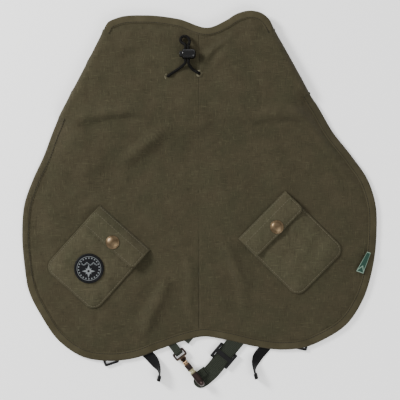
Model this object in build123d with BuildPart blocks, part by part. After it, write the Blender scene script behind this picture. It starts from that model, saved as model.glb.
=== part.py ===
# Dog coat laid flat: canvas back panels over a lined chest panel, joined into a
# flattened neck tube, with two flap pockets, a neck drawcord, a belly strap
# closed by a snap hook, and two leg straps. Millimetres. +Z is up, +Y points
# to the neck, and the origin is the middle of the coat on the floor.
from build123d import *
import math
import os

os.makedirs("parts", exist_ok=True)

# ---- driving dimensions ----------------------------------------------------
shell_t = 1.2            # canvas
lining_t = 1.6           # lining cloth
binding_w = 9.5          # visible width of the edge binding
binding_over = 0.8       # how far a binding stands above the cloth it wraps
binding_under = 0.6      # and below it
panel_inset = 1.2        # cloth stops this far inside a bound or sewn edge
chest_floor = binding_under
lobe_under = 4.0         # underside of the back lining away from the neck tube
tube_under = 12.4        # underside of the back lining over the chest panel
ramp_low_y = 46.0        # the back drops from the tube to the lobes between
ramp_top_y = 88.0        # these two lines
seam_x = -1.0            # centre-back seam
webbing_t = 1.5
webbing_w = 18.0
webbing_z = 1.9          # underside of the straps sewn below the back
facet_len = 8.0          # curved cloth edges are made of straight facets this long
gap = 0.3                # room between bodies that move past each other

cloth_t = shell_t + lining_t
lobe_top = lobe_under + cloth_t
tube_top = tube_under + cloth_t
chest_top = chest_floor + cloth_t

left_corner = (-109.5, 193.0)      # neck corners of the folded tube
right_corner = (84.0, 194.0)
left_arm = (-160.0, 94.5)          # where the side folds end and the lobes start
right_arm = (124.5, 121.0)
right_side = (202.0, -32.0)        # widest points of the lobes
left_side = (-202.5, -32.0)
right_hem = (80.0, -169.8)         # lowest points of the lobes, and the dip's top
left_hem = (-107.0, -182.7)
hem_peak = (4.5, -155.5)


def save(part, name):
    part.label = name
    export_step(part, f"parts/{name}.step")


def unit(a, b):
    length = math.dist(a, b)
    return ((b[0] - a[0]) / length, (b[1] - a[1]) / length)


# ---- outlines --------------------------------------------------------------
with BuildSketch() as coat_outline:
    with BuildLine():
        Spline(left_corner, (-62.5, 209), (11.5, 195.5), (56, 214.5), right_corner)
        Line(right_corner, right_arm)
        Spline(right_arm, (134.5, 106), (154, 72.5), (179, 41), (197, 4.5), right_side,
               tangents=[(0.5, -0.86), (0, -1)])
        Spline(right_side, (194.5, -93.5), (166.5, -142.5), (119.5, -167), right_hem,
               tangents=[(0, -1), (-1, 0)])
        Spline(right_hem, (36.5, -161.5), hem_peak, tangents=[(-1, 0), (-1, 0)])
        Spline(hem_peak, (-27.5, -164), (-66, -177.5), left_hem, tangents=[(-1, 0), (-1, 0)])
        Spline(left_hem, (-148, -170.5), (-180, -133.5), (-198, -96), left_side,
               tangents=[(-1, 0), (0, 1)])
        Spline(left_side, (-194, 16), (-170, 67.5), left_arm, tangents=[(0, 1), (0.26, 0.97)])
        Line(left_arm, left_corner)
    make_face()

with BuildSketch() as chest_outline:
    with BuildLine():
        Spline(left_corner, (-60, 184), (-20, 177), (30, 181), right_corner)
        Line(right_corner, right_arm)
        Spline(right_arm, (106, 92), (80, 79), (28, 89), (-12, 96), (-50, 90),
               (-102, 80), (-136, 84), left_arm)
        Line(left_arm, left_corner)
    make_face()


def faceted(outline):
    """The same outline in straight facets of about facet_len, with its corners kept."""
    corners = []
    for edge in outline.faces()[0].outer_wire().order_edges():
        count = max(1, round(edge.length / facet_len)) if edge.geom_type != GeomType.LINE else 1
        corners += [edge.position_at(step / count) for step in range(count)]
    return zone(*[(corner.X, corner.Y) for corner in corners])


def inset(outline, amount):
    with BuildSketch() as smaller:
        add(outline)
        offset(amount=-amount, kind=Kind.INTERSECTION, mode=Mode.REPLACE)
    return smaller.sketch


def ring(outline, width):
    with BuildSketch() as band:
        add(outline)
        add(inset(outline, width), mode=Mode.SUBTRACT)
    return band.sketch


def zone(*corners):
    with BuildSketch() as area:
        with BuildLine():
            Polyline(*corners, close=True)
        make_face()
    return area.sketch


def drape(low, high):
    """Side profile of a cloth layer, high over the neck tube and low over the lobes."""
    far = 260
    with BuildSketch(Plane.YZ) as profile:
        with BuildLine():
            Polyline((-far, lobe_under + low), (ramp_low_y, lobe_under + low),
                     (ramp_top_y, tube_under + low), (far, tube_under + low),
                     (far, tube_under + high), (ramp_top_y, tube_under + high),
                     (ramp_low_y, lobe_under + high), (-far, lobe_under + high), close=True)
        make_face()
    return profile.sketch


coat_face = faceted(coat_outline.sketch)
chest_whole = faceted(chest_outline.sketch)
back_face = inset(coat_face, panel_inset)
chest_face = inset(chest_whole, panel_inset)
coat_ring = ring(coat_face, binding_w)
chest_ring = ring(chest_whole, binding_w)
half_span = 230
lobe_zone = zone((-half_span, left_arm[1] - 6.5), (half_span, right_arm[1] + 9.8),
                 (half_span, -240), (-half_span, -240))
side_zone = zone((-half_span, left_arm[1] - 6.5), (half_span, right_arm[1] + 9.8),
                 (half_span, 189), (-half_span, 189))
neck_zone = zone(left_corner, (-60, 178), (60, 178), right_corner, (half_span, 240), (-half_span, 240))
chest_neck_zone = zone((-98, 165), (74, 165), (74, 200), (-98, 200))
chest_hem_zone = zone((-138, 70), (104, 70), (104, 112), (-138, 104))

side_ring = (coat_face - back_face) & side_zone

lining_layer = drape(0, lining_t)
cloth_layer = drape(0, cloth_t)
shell_layer = drape(lining_t, cloth_t)
binding_layer = drape(-binding_under, cloth_t + binding_over)

# ---- neck eyelets and the channel behind them --------------------------------
eyelets_at = [(-36.5, 139.5), (-1.0, 143.0)]
eyelet_r = 3.8
eyelet_hole_r = 2.0
eyelet_t = 0.6
channel_w = 14.0
channel_t = 0.8
cord_d = 3.2
hidden_cord_d = 3.0
channel_y = 141.5
channel_z = tube_under - hidden_cord_d - channel_t

# ---- back panels -------------------------------------------------------------
for side, keep in (("left", Keep.BOTTOM), ("right", Keep.TOP)):
    with BuildPart() as back_panel:
        extrude(shell_layer, amount=half_span, both=True)
        extrude(back_face, amount=40, mode=Mode.INTERSECT)
        split(bisect_by=Plane.YZ.offset(seam_x), keep=keep)
        with Locations(*[(x, y, tube_top) for x, y in eyelets_at]):
            Hole(eyelet_hole_r + 0.5, depth=cloth_t)
    save(back_panel.part, f"back_panel_{side}")

with BuildPart() as back_lining:
    extrude(lining_layer, amount=half_span, both=True)
    extrude(back_face, amount=40, mode=Mode.INTERSECT)
    with Locations(*[(x, y, tube_top) for x, y in eyelets_at]):
        Hole(eyelet_r + gap, depth=2 * cloth_t)
save(back_lining.part, "back_lining")

for name, area in (("hem_binding", lobe_zone), ("neck_binding", neck_zone)):
    with BuildPart() as binding:
        extrude(binding_layer, amount=half_span, both=True)
        extrude(coat_ring & area, amount=40, mode=Mode.INTERSECT)
        cloth = extrude(cloth_layer, amount=half_span, both=True, mode=Mode.PRIVATE)
        inner = extrude(back_face, amount=40, mode=Mode.PRIVATE)
        add(cloth & inner, mode=Mode.SUBTRACT)
    save(binding.part, name)

# ---- chest panel: a sheet whose two sides rise to meet the back ----------------
with BuildPart() as chest_panel:
    with BuildSketch(Plane.XY.offset(chest_floor)):
        add(chest_face)
        add(side_ring)
    extrude(amount=shell_t)
    with BuildSketch(Plane.XY.offset(chest_floor)):
        add(side_ring)
    extrude(amount=tube_top - chest_floor)
save(chest_panel.part, "chest_panel")

with BuildPart() as chest_lining:
    with BuildSketch(Plane.XY.offset(chest_floor + shell_t)):
        add(chest_face)
    extrude(amount=lining_t)
save(chest_lining.part, "chest_lining")

for name, area in (("chest_hem_binding", chest_hem_zone), ("chest_neck_binding", chest_neck_zone)):
    with BuildPart() as binding:
        extrude(chest_ring & area, amount=chest_top + binding_over)
        with BuildSketch(Plane.XY.offset(chest_floor)):
            add(chest_face)
        extrude(amount=cloth_t, mode=Mode.SUBTRACT)
    save(binding.part, name)

# ---- channel, hidden cord runs, eyelets ----------------------------------------
channel_x = (-131.0, 108.0)
channel_mid = (channel_x[0] + channel_x[1]) / 2
channel_len = channel_x[1] - channel_x[0]
with BuildPart() as neck_cord_channel:
    with BuildSketch(Plane.XY.offset(channel_z)):
        with Locations((channel_mid, channel_y)):
            Rectangle(channel_len, channel_w)
    extrude(amount=tube_under - channel_z)
    with BuildSketch(Plane.XY.offset(channel_z + channel_t)):
        with Locations((channel_mid, channel_y)):
            Rectangle(channel_len - 4, channel_w - 5)
    extrude(amount=hidden_cord_d, mode=Mode.SUBTRACT)
save(neck_cord_channel.part, "neck_cord_channel")

with BuildPart() as neck_cord_runs:
    for (x, y), end in zip(eyelets_at, (channel_x[0] + 2.5, channel_x[1] - 2.5)):
        start = x - 1.5 if end < x else x + 1.5
        with BuildSketch(Plane((start, y, tube_under - hidden_cord_d / 2),
                               z_dir=(1 if end > x else -1, 0, 0))):
            Circle(hidden_cord_d / 2)
        extrude(amount=abs(end - start))
save(neck_cord_runs.part, "neck_cord_runs")

with BuildPart() as eyelets:
    for x, y in eyelets_at:
        with BuildSketch(Plane.XY.offset(tube_top)):
            with Locations((x, y)):
                Circle(eyelet_r)
        extrude(amount=eyelet_t)
        with BuildSketch(Plane.XY.offset(tube_top - shell_t)):
            with Locations((x, y)):
                Circle(eyelet_hole_r + 0.5)
        extrude(amount=shell_t)
        with Locations((x, y, tube_top + eyelet_t)):
            Hole(eyelet_hole_r, depth=2 * shell_t)
save(eyelets.part, "eyelets")

with BuildPart() as eyelet_washers:
    for x, y in eyelets_at:
        with BuildSketch(Plane.XY.offset(tube_top - shell_t - eyelet_t)):
            with Locations((x, y)):
                Circle(eyelet_r)
                Circle(eyelet_hole_r, mode=Mode.SUBTRACT)
        extrude(amount=eyelet_t)
save(eyelet_washers.part, "eyelet_washers")

# ---- drawcord: up out of one eyelet, through the lock, round, and back ----------
lock_y = 164.5
lock_z = tube_top + 6.0
strand_x = (-16.5, -13.1)
drawcord_route = [
    (-36.5, 139.5, tube_under), (-36.2, 139.9, tube_top + 4.2), (-29.8, 144.2, tube_top + 1.9),
    (-22.6, 149.0, tube_top + 2.6), (strand_x[0], 154.4, lock_z), (strand_x[0], 174.6, lock_z),
    (-22.4, 178.4, tube_top + 3.4), (-21.2, 184.6, tube_top + 1.9), (-14.2, 185.0, tube_top + 1.8),
    (-11.2, 179.0, tube_top + 3.2), (strand_x[1], 173.8, lock_z), (strand_x[1], 154.2, lock_z),
    (-10.2, 149.0, tube_top + 2.9), (-6.2, 145.6, tube_top + 1.9), (-1.2, 143.2, tube_top + 4.2),
    (-1.0, 143.0, tube_under)]


def route_radii(route):
    """Arc radius at each inner point: 0.45 of the shorter run over tan(half the turn)."""
    radii = []
    for before, here, after in zip(route, route[1:], route[2:]):
        into = Vector(*here) - Vector(*before)
        out = Vector(*after) - Vector(*here)
        turn = math.radians(into.get_angle(out))
        radii.append(0.45 * min(into.length, out.length) / math.tan(turn / 2))
    return radii


drawcord_radii = route_radii(drawcord_route)
with BuildPart() as neck_drawcord:
    with BuildLine() as drawcord_line:
        FilletPolyline(*drawcord_route, radius=drawcord_radii)
    with BuildSketch(Plane(drawcord_route[0], z_dir=drawcord_line.line % 0)):
        Circle(cord_d / 2)
    sweep()
save(neck_drawcord.part, "neck_drawcord")
drawcord_length = sum(edge.length for edge in drawcord_line.edges())
print("drawcord radii", [round(r, 1) for r in drawcord_radii])
print("drawcord length", round(drawcord_length, 1), "volume ratio",
      round(neck_drawcord.part.volume / (math.pi * cord_d ** 2 / 4 * drawcord_length), 3))

# ---- cord lock: barrel, sprung plunger, both pierced for two strands ------------
lock_r = 5.7
lock_left = -20.2
lock_right = -4.6
plunger_r = 3.5
plunger_out = 3.0
plunger_travel = 2.5
slot_z = cord_d + 2 * gap
slot_left = strand_x[0] - cord_d / 2 - gap
slot_right = strand_x[1] + cord_d / 2 + gap
plunger_end = slot_right + 1.2
chamber_end = lock_right - 1.2
lock_plane = Plane((lock_left, lock_y, lock_z), x_dir=(0, 1, 0), z_dir=(1, 0, 0))


def cord_slot(left, right):
    with BuildSketch(Plane((left, lock_y, lock_z), x_dir=(0, 1, 0), z_dir=(1, 0, 0))) as slot:
        Rectangle(4 * lock_r, slot_z)
    return extrude(slot.sketch, amount=right - left, mode=Mode.PRIVATE)


with BuildPart() as cord_lock_body:
    with BuildSketch(lock_plane):
        Circle(lock_r)
    extrude(amount=lock_right - lock_left)
    fillet(edges().group_by(Axis.X)[-1], radius=4.0)
    fillet(edges().group_by(Axis.X)[0], radius=1.5)
    with BuildSketch(lock_plane):
        Circle(plunger_r + 0.1)
    extrude(amount=chamber_end - lock_left, mode=Mode.SUBTRACT)
    add(cord_slot(slot_left, slot_right), mode=Mode.SUBTRACT)
save(cord_lock_body.part, "cord_lock_body")

with BuildPart() as cord_lock_plunger:
    with BuildSketch(lock_plane.offset(-plunger_out)):
        Circle(plunger_r)
    extrude(amount=plunger_end - lock_left + plunger_out)
    fillet(edges().group_by(Axis.X)[0], radius=0.8)
    add(cord_slot(slot_left - plunger_travel, slot_right), mode=Mode.SUBTRACT)
save(cord_lock_plunger.part, "cord_lock_plunger")

spring_wire = 0.5
with BuildPart() as cord_lock_spring:
    with BuildLine() as coil:
        Helix(pitch=1.1, height=chamber_end - plunger_end - 2 * spring_wire, radius=2.4,
              center=(plunger_end + spring_wire, lock_y, lock_z), direction=(1, 0, 0))
    with BuildSketch(Plane(coil.line @ 0, z_dir=coil.line % 0)):
        Circle(spring_wire / 2)
    sweep()
save(cord_lock_spring.part, "cord_lock_spring")

# ---- pockets, flaps and snaps ---------------------------------------------------
pocket_w = 77.0
pocket_bottom = 95.0     # from the flap's sewn edge to the pocket's lower edge
pocket_mouth = 10.5
pocket_gap = 4.2
pocket_t = 1.2
pocket_corner_r = 12.0
flap_w = 76.0
flap_depth = 29.0
flap_t = 1.0
flap_corner_r = 6.0
snap_y = -21.2
pocket_top = lobe_top + pocket_gap + pocket_t
flap_z = pocket_top + 2.9
roll_r = (flap_z + flap_t - lobe_top - gap) / 2
roll_z = lobe_top + gap + roll_r
cap_r = 7.8
cap_h = 2.0
stud_r = 3.2

pockets = {
    "left": {"at": (-85.3, -31.4), "x_dir": (0.745, -0.667, 0), "snap_x": 0.9},
    "right": {"at": (70.3, -17.1), "x_dir": (0.701, 0.713, 0), "snap_x": 2.0},
}
pocket_planes = {}

for side, spec in pockets.items():
    base = Plane((*spec["at"], 0), x_dir=spec["x_dir"], z_dir=(0, 0, 1))
    pocket_planes[side] = base
    snap_at = (spec["snap_x"], snap_y)
    pocket_mid = -(pocket_mouth + pocket_bottom) / 2
    pocket_len = pocket_bottom - pocket_mouth

    with BuildPart() as pocket:
        with BuildSketch(base.offset(lobe_top)) as outer:
            with Locations((0, pocket_mid)):
                Rectangle(pocket_w, pocket_len)
            fillet(outer.vertices().group_by(Axis((0, 0, 0), base.y_dir))[0], pocket_corner_r)
        extrude(amount=pocket_gap + pocket_t)
        with BuildSketch(base.offset(lobe_top)) as inner:
            with Locations((0, pocket_mid + pocket_t)):
                Rectangle(pocket_w - 2 * pocket_t, pocket_len)
            fillet(inner.vertices().group_by(Axis((0, 0, 0), base.y_dir))[0],
                   pocket_corner_r - pocket_t)
        extrude(amount=pocket_gap, mode=Mode.SUBTRACT)
        with BuildSketch(base.offset(pocket_top - pocket_t)):
            with Locations(snap_at):
                Circle(4.5)
        extrude(amount=0.4, mode=Mode.SUBTRACT)
        with BuildSketch(base.offset(pocket_top - pocket_t)):
            with Locations(snap_at):
                Circle(1.5)
        extrude(amount=pocket_t, mode=Mode.SUBTRACT)
    save(pocket.part, f"pocket_{side}")

    with BuildPart() as snap_post:
        with BuildSketch(base.offset(pocket_top - pocket_t)):
            with Locations(snap_at):
                Circle(4.5)
        extrude(amount=0.4)
        with BuildSketch(base.offset(pocket_top - pocket_t)):
            with Locations(snap_at):
                Circle(1.5)
        extrude(amount=pocket_t)
    save(snap_post.part, f"snap_post_{side}")

    with BuildPart() as snap_stud:
        with BuildSketch(base.offset(pocket_top)):
            with Locations(snap_at):
                Circle(5.6)
        extrude(amount=0.2)
        with BuildSketch(base.offset(pocket_top + 0.2)):
            with Locations(snap_at):
                Circle(stud_r)
        extrude(amount=1.6)
        fillet(snap_stud.edges().group_by(Axis.Z)[-1], radius=0.5)
    save(snap_stud.part, f"snap_stud_{side}")

    with BuildPart() as snap_socket:
        with BuildSketch(base.offset(pocket_top + 0.2 + gap)):
            with Locations(snap_at):
                Circle(6.2)
        extrude(amount=flap_z - pocket_top - 0.2 - gap)
        with BuildSketch(base.offset(pocket_top + 0.2 + gap)):
            with Locations(snap_at):
                Circle(stud_r + 0.4)
        extrude(amount=1.6, mode=Mode.SUBTRACT)
    save(snap_socket.part, f"snap_socket_{side}")

    with BuildPart() as pocket_flap:
        with BuildSketch(base.offset(flap_z)) as plate:
            with Locations((0, -(flap_depth + roll_r) / 2)):
                Rectangle(flap_w, flap_depth - roll_r)
            fillet(plate.vertices().group_by(Axis((0, 0, 0), base.y_dir))[0], flap_corner_r)
        extrude(amount=flap_t)
        roll_plane = Plane(base.from_local_coords(Vector(-flap_w / 2, -roll_r, roll_z)),
                           z_dir=base.x_dir)
        with BuildSketch(roll_plane):
            Circle(roll_r)
            Circle(roll_r - flap_t, mode=Mode.SUBTRACT)
        extrude(amount=flap_w)
        with BuildSketch(base.offset(flap_z)):
            with Locations(snap_at):
                Circle(1.6)
        extrude(amount=flap_t, mode=Mode.SUBTRACT)
    save(pocket_flap.part, f"pocket_flap_{side}")

    with BuildPart() as snap_cap:
        with BuildSketch(base.offset(flap_z)):
            with Locations(snap_at):
                Circle(1.6)
        extrude(amount=flap_t)
        with BuildSketch(base.offset(flap_z + flap_t)):
            with Locations(snap_at):
                Circle(cap_r)
        extrude(amount=cap_h)
        fillet(snap_cap.edges().group_by(Axis.Z)[-1], radius=1.8)
    save(snap_cap.part, f"snap_cap_{side}")

# round rubber badge with a raised rim and a four-point star
badge_r = 16.8
with BuildPart() as badge:
    with BuildSketch(pocket_planes["left"].offset(pocket_top)):
        with Locations((0.7, -61.2)):
            Circle(badge_r)
    extrude(amount=1.2)
    with BuildSketch(pocket_planes["left"].offset(pocket_top + 1.2)):
        with Locations((0.7, -61.2)):
            Circle(badge_r)
            Circle(badge_r - 1.4, mode=Mode.SUBTRACT)
            Circle(badge_r - 4.2)
            Circle(badge_r - 4.8, mode=Mode.SUBTRACT)
            with PolarLocations(0, 4):
                Polygon((0, 10.0), (2.2, 2.2), (-2.2, 2.2), align=None)
            Rectangle(4.4, 4.4)
    extrude(amount=0.5)
save(badge.part, "badge")

# ---- side label, a folded tab caught in the binding seam ------------------------
label_seam = ((191.6, -58.4), (184.0, -84.0))
label_dir = unit(label_seam[1], label_seam[0])
label_len = math.dist(*label_seam)
label_w = 8.0
label_r = 0.7
label_z = lobe_top + binding_over + gap + label_r
label_plane = Plane((*label_seam[1], label_z), x_dir=(label_dir[1], -label_dir[0], 0),
                    z_dir=(*label_dir, 0))
with BuildPart() as side_label:
    with BuildSketch(label_plane):
        Circle(label_r)
        with Locations((-label_w / 2, 0)):
            Rectangle(label_w, 0.8)
    extrude(amount=label_len)
save(side_label.part, "side_label")

# ---- snap hook --------------------------------------------------------------------
hook_mid = (-11.0, -191.0)
hook_dir = unit((-27.4, -169.9), (3.4, -209.8))
spine_z = 4.25
wire_r = 2.2
spine_start = -14.6
spine_end = 17.8
bow_r = 4.4
nose_tip = 3.5
pivot_s = -8.5
hook_plane = Plane((*hook_mid, spine_z), x_dir=(*hook_dir, 0), z_dir=(hook_dir[1], -hook_dir[0], 0))
nose_y = 2 * bow_r
spine_plane = Plane(hook_plane.from_local_coords(Vector(spine_start, 0, 0)), z_dir=hook_plane.x_dir)

with BuildPart() as snap_hook_body:
    with BuildLine(hook_plane) as hook_wire:
        Line((spine_start, 0), (spine_end, 0))
        ThreePointArc((spine_end, 0), (spine_end + bow_r, bow_r), (spine_end, nose_y))
        Line((spine_end, nose_y), (nose_tip, nose_y))
    with BuildSketch(Plane(hook_wire.line @ 0, z_dir=hook_wire.line % 0)):
        Circle(wire_r)
    sweep()
    with BuildSketch(hook_plane):
        with Locations((pivot_s, 0)):
            Rectangle(6.0, 4.0)
        with Locations((pivot_s, nose_y / 2)):
            Rectangle(6.0, nose_y)
        with Locations((pivot_s, nose_y)):
            Circle(3.0)
    extrude(amount=2.6, both=True)
    with BuildSketch(hook_plane):
        with Locations((pivot_s, nose_y)):
            Circle(3.6)
        with Locations((pivot_s + 6, nose_y)):
            Rectangle(12, 7.2)
        with Locations((pivot_s, nose_y + 3)):
            Rectangle(7.2, 6)
    extrude(amount=1.2, both=True, mode=Mode.SUBTRACT)
    with BuildSketch(hook_plane.offset(-3)):
        with Locations((pivot_s, nose_y)):
            Circle(0.9)
    extrude(amount=6, mode=Mode.SUBTRACT)
    with BuildSketch(spine_plane):
        Circle(3.6)
    extrude(amount=3.0)
    with BuildSketch(spine_plane):
        Circle(1.3)
    extrude(amount=4.0, mode=Mode.SUBTRACT)
save(snap_hook_body.part, "snap_hook_body")

gate_r = 1.9
gate_tip = nose_tip - 0.45
with BuildPart() as snap_hook_gate:
    with BuildSketch(Plane(hook_plane.from_local_coords(Vector(pivot_s + 3.6, nose_y, 0)),
                           z_dir=hook_plane.x_dir)):
        Circle(gate_r)
    extrude(amount=gate_tip - pivot_s - 3.6)
    with BuildSketch(hook_plane):
        with Locations((pivot_s, nose_y)):
            Circle(2.4)
        with Locations((pivot_s + 2.5, nose_y)):
            Rectangle(5.0, 3.4)
    extrude(amount=0.9, both=True)
    with BuildSketch(hook_plane.offset(-3)):
        with Locations((pivot_s, nose_y)):
            Circle(0.95)
    extrude(amount=6, mode=Mode.SUBTRACT)
    with BuildSketch(Plane(hook_plane.from_local_coords(Vector(gate_tip, nose_y, 0)),
                           z_dir=-hook_plane.x_dir)):
        Circle(1.1)
    extrude(amount=6.0, mode=Mode.SUBTRACT)
save(snap_hook_gate.part, "snap_hook_gate")

with BuildPart() as gate_spring:
    with BuildSketch(Plane(hook_plane.from_local_coords(Vector(gate_tip - 0.4, nose_y, 0)),
                           z_dir=-hook_plane.x_dir)):
        Circle(0.95)
        Circle(0.55, mode=Mode.SUBTRACT)
    extrude(amount=5.4)
save(gate_spring.part, "gate_spring")

with BuildPart() as gate_pin:
    with BuildSketch(hook_plane.offset(-2.6)):
        with Locations((pivot_s, nose_y)):
            Circle(0.9)
    extrude(amount=5.2)
save(gate_pin.part, "gate_pin")

# eye with a crosswise bar for the webbing loop, and the post that the body swivels on
eye_bar_s = -23.0
eye_half = 6.0
eye_r = 1.5
eye_back = eye_bar_s - eye_r
eye_front = spine_start - gap
eye_neck = 2.4
eye_plane = Plane((*hook_mid, spine_z - eye_r), x_dir=(*hook_dir, 0))
with BuildPart() as snap_hook_eye:
    with BuildSketch(eye_plane):
        with Locations(((eye_back + eye_front) / 2, 0)):
            RectangleRounded(eye_front - eye_back, 2 * (eye_half + eye_r), 2.0)
        with Locations(((eye_bar_s + eye_r + eye_front - eye_neck) / 2, 0)):
            Rectangle(eye_front - eye_neck - eye_bar_s - eye_r, 2 * (eye_half - 0.6),
                      mode=Mode.SUBTRACT)
    extrude(amount=2 * eye_r)
    with BuildSketch(Plane(hook_plane.from_local_coords(Vector(eye_front - 1, 0, 0)),
                           z_dir=hook_plane.x_dir)):
        Circle(1.2)
    extrude(amount=4.2)
save(snap_hook_eye.part, "snap_hook_eye")

# ---- straps -------------------------------------------------------------------------
across = (-hook_dir[1], hook_dir[0])          # from the hook towards the right lobe
loop_plane_dir = hook_plane.x_dir


def webbing_loop(centre_s, width, inner_r, ply_z, ply_len):
    """Ring of webbing round the spine with two flat plies leaving it sideways."""
    start = hook_plane.from_local_coords(Vector(centre_s - width / 2, 0, 0))
    with BuildSketch(Plane(start, x_dir=(*across, 0), z_dir=loop_plane_dir)) as profile:
        Circle(inner_r + webbing_t)
        with Locations((ply_len / 2, ply_z - spine_z + webbing_t)):
            Rectangle(ply_len, 2 * webbing_t)
        Circle(inner_r, mode=Mode.SUBTRACT)
    return extrude(profile.sketch, amount=width, mode=Mode.PRIVATE)


strap_dir = (0.645, 0.764)
slider_at = (27.0, -177.0)
belly_anchor = (slider_at[0] + 95 * strap_dir[0], slider_at[1] + 95 * strap_dir[1])
belly_turn = (slider_at[0] - 13 * strap_dir[0], slider_at[1] - 13 * strap_dir[1])
loop_s = 12.8
loop_at = (hook_mid[0] + loop_s * hook_dir[0], hook_mid[1] + loop_s * hook_dir[1])
belly_start = (loop_at[0] + 7.5 * across[0], loop_at[1] + 7.5 * across[1])
with BuildPart() as belly_strap:
    add(webbing_loop(loop_s, 9.6, wire_r + gap + 0.05, webbing_z, 12.0))
    with BuildSketch(Plane.XY.offset(webbing_z)):
        with BuildLine():
            FilletPolyline(belly_start, belly_turn, belly_anchor, radius=12)
        trace(line_width=webbing_w)
    extrude(amount=webbing_t)
save(belly_strap.part, "belly_strap")

# tri-glide: outer bars below the webbing, middle bar above it
slider_len = 20.0
slider_side = 3.0
bar_t = 1.5
slider_base = Plane((*slider_at, 0), x_dir=(*strap_dir, 0))
slider_inner = webbing_w + 2 * gap
slider_top = webbing_z + webbing_t + gap + bar_t
with BuildPart() as strap_slider:
    with BuildSketch(slider_base.offset(0.1)):
        RectangleRounded(slider_len, slider_inner + 2 * slider_side, 2.5)
        Rectangle(slider_len - 7.0, slider_inner, mode=Mode.SUBTRACT)
    extrude(amount=bar_t)
    with BuildSketch(slider_base.offset(0.1)):
        for way in (-1, 1):
            with Locations((0, way * (slider_inner + slider_side) / 2)):
                RectangleRounded(slider_len, slider_side, 1.2)
    extrude(amount=slider_top - 0.1)
    with BuildSketch(slider_base.offset(slider_top - bar_t)):
        Rectangle(5.0, slider_inner + slider_side)
    extrude(amount=bar_t)
save(strap_slider.part, "strap_slider")

# left strap: square end just past the hem, and the loop that carries the hook's eye
left_strap_end = (-7.5, -157.0)
left_strap_anchor = (-95.0, -85.0)
with BuildPart() as left_strap:
    with BuildSketch(Plane.XY.offset(webbing_z)):
        with BuildLine():
            Line(left_strap_anchor, left_strap_end)
        trace(line_width=webbing_w)
    extrude(amount=webbing_t)
save(left_strap.part, "left_strap")

eye_loop_w = 9.0
eye_loop_r = 2.3
eye_ply_len = 36.0
eye_bar = (hook_mid[0] + eye_bar_s * hook_dir[0], hook_mid[1] + eye_bar_s * hook_dir[1])
eye_loop_start = (eye_bar[0] - across[0] * eye_loop_w / 2, eye_bar[1] - across[1] * eye_loop_w / 2)
with BuildPart() as hook_loop:
    with BuildSketch(Plane((*eye_loop_start, spine_z), x_dir=(-hook_dir[0], -hook_dir[1], 0),
                           z_dir=(*across, 0))):
        Circle(eye_loop_r + webbing_t)
        with Locations((eye_ply_len / 2, (webbing_z - webbing_t / 2) - spine_z)):
            Rectangle(eye_ply_len, webbing_t)
        Circle(eye_loop_r, mode=Mode.SUBTRACT)
    extrude(amount=eye_loop_w)
save(hook_loop.part, "hook_loop")

# ---- leg straps ------------------------------------------------------------------------
leg_w = 12.0
leg_straps = {
    "left": {"flat": [(-96, -138), (-72, -163), (-56, -179)],
             "tail": [(-56, -179), (-49, -187), (-45, -196), (-47.5, -206)],
             "tab": [(-112, -150), (-104.5, -173)]},
    "right": {"flat": [(104, -128), (84, -156), (72, -171)],
              "tail": [(72, -171), (64.5, -179), (61, -190), (64, -203.5)],
              "tab": [(120, -136), (116, -155.5)]},
}
tail_h = 11.0
adjuster_l = 15.0
adjuster_t = 3.2
for side, route in leg_straps.items():
    with BuildPart() as leg_strap:
        with BuildSketch():
            with BuildLine():
                FilletPolyline(*route["flat"], radius=20)
            trace(line_width=leg_w)
        extrude(amount=webbing_t)
        with BuildSketch():
            with BuildLine():
                Spline(*route["tail"])
            trace(line_width=1.8)
        extrude(amount=tail_h)
        tip = route["tail"][-1]
        with BuildSketch():
            with Locations((tip[0], tip[1] + 2.5)):
                Rectangle(3.6, 5.0)
        extrude(amount=tail_h)
    save(leg_strap.part, f"leg_strap_{side}")

    start, end = route["tab"]
    way = unit(start, end)
    with BuildPart() as adjuster_tab:
        with BuildSketch():
            with BuildLine():
                Line(start, end)
            trace(line_width=leg_w)
        extrude(amount=webbing_t)
    save(adjuster_tab.part, f"leg_adjuster_tab_{side}")

    centre = (end[0] + way[0] * adjuster_l / 2, end[1] + way[1] * adjuster_l / 2)
    adjuster_plane = Plane((*centre, 0), x_dir=(*way, 0))
    with BuildPart() as leg_adjuster:
        with BuildSketch(adjuster_plane):
            RectangleRounded(adjuster_l, leg_w + 5.0, 2.0)
            with GridLocations(6.4, 0, 2, 1):
                Rectangle(3.2, leg_w, mode=Mode.SUBTRACT)
        extrude(amount=adjuster_t)
    save(leg_adjuster.part, f"leg_adjuster_{side}")

# reinforcement patches that carry the strap ends up to the lining
patches = [(belly_anchor, webbing_z + webbing_t, 24), (left_strap_anchor, webbing_z + webbing_t, 24),
           (leg_straps["left"]["flat"][0], webbing_t, 20), (leg_straps["right"]["flat"][0], webbing_t, 20),
           (leg_straps["left"]["tab"][0], webbing_t, 20), (leg_straps["right"]["tab"][0], webbing_t, 20)]
with BuildPart() as strap_anchor_patches:
    for place, low, size in patches:
        with BuildSketch(Plane.XY.offset(low)):
            with Locations(place):
                RectangleRounded(size, size, 2.0)
        extrude(amount=lobe_under - low)
save(strap_anchor_patches.part, "strap_anchor_patches")
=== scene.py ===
import math

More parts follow.
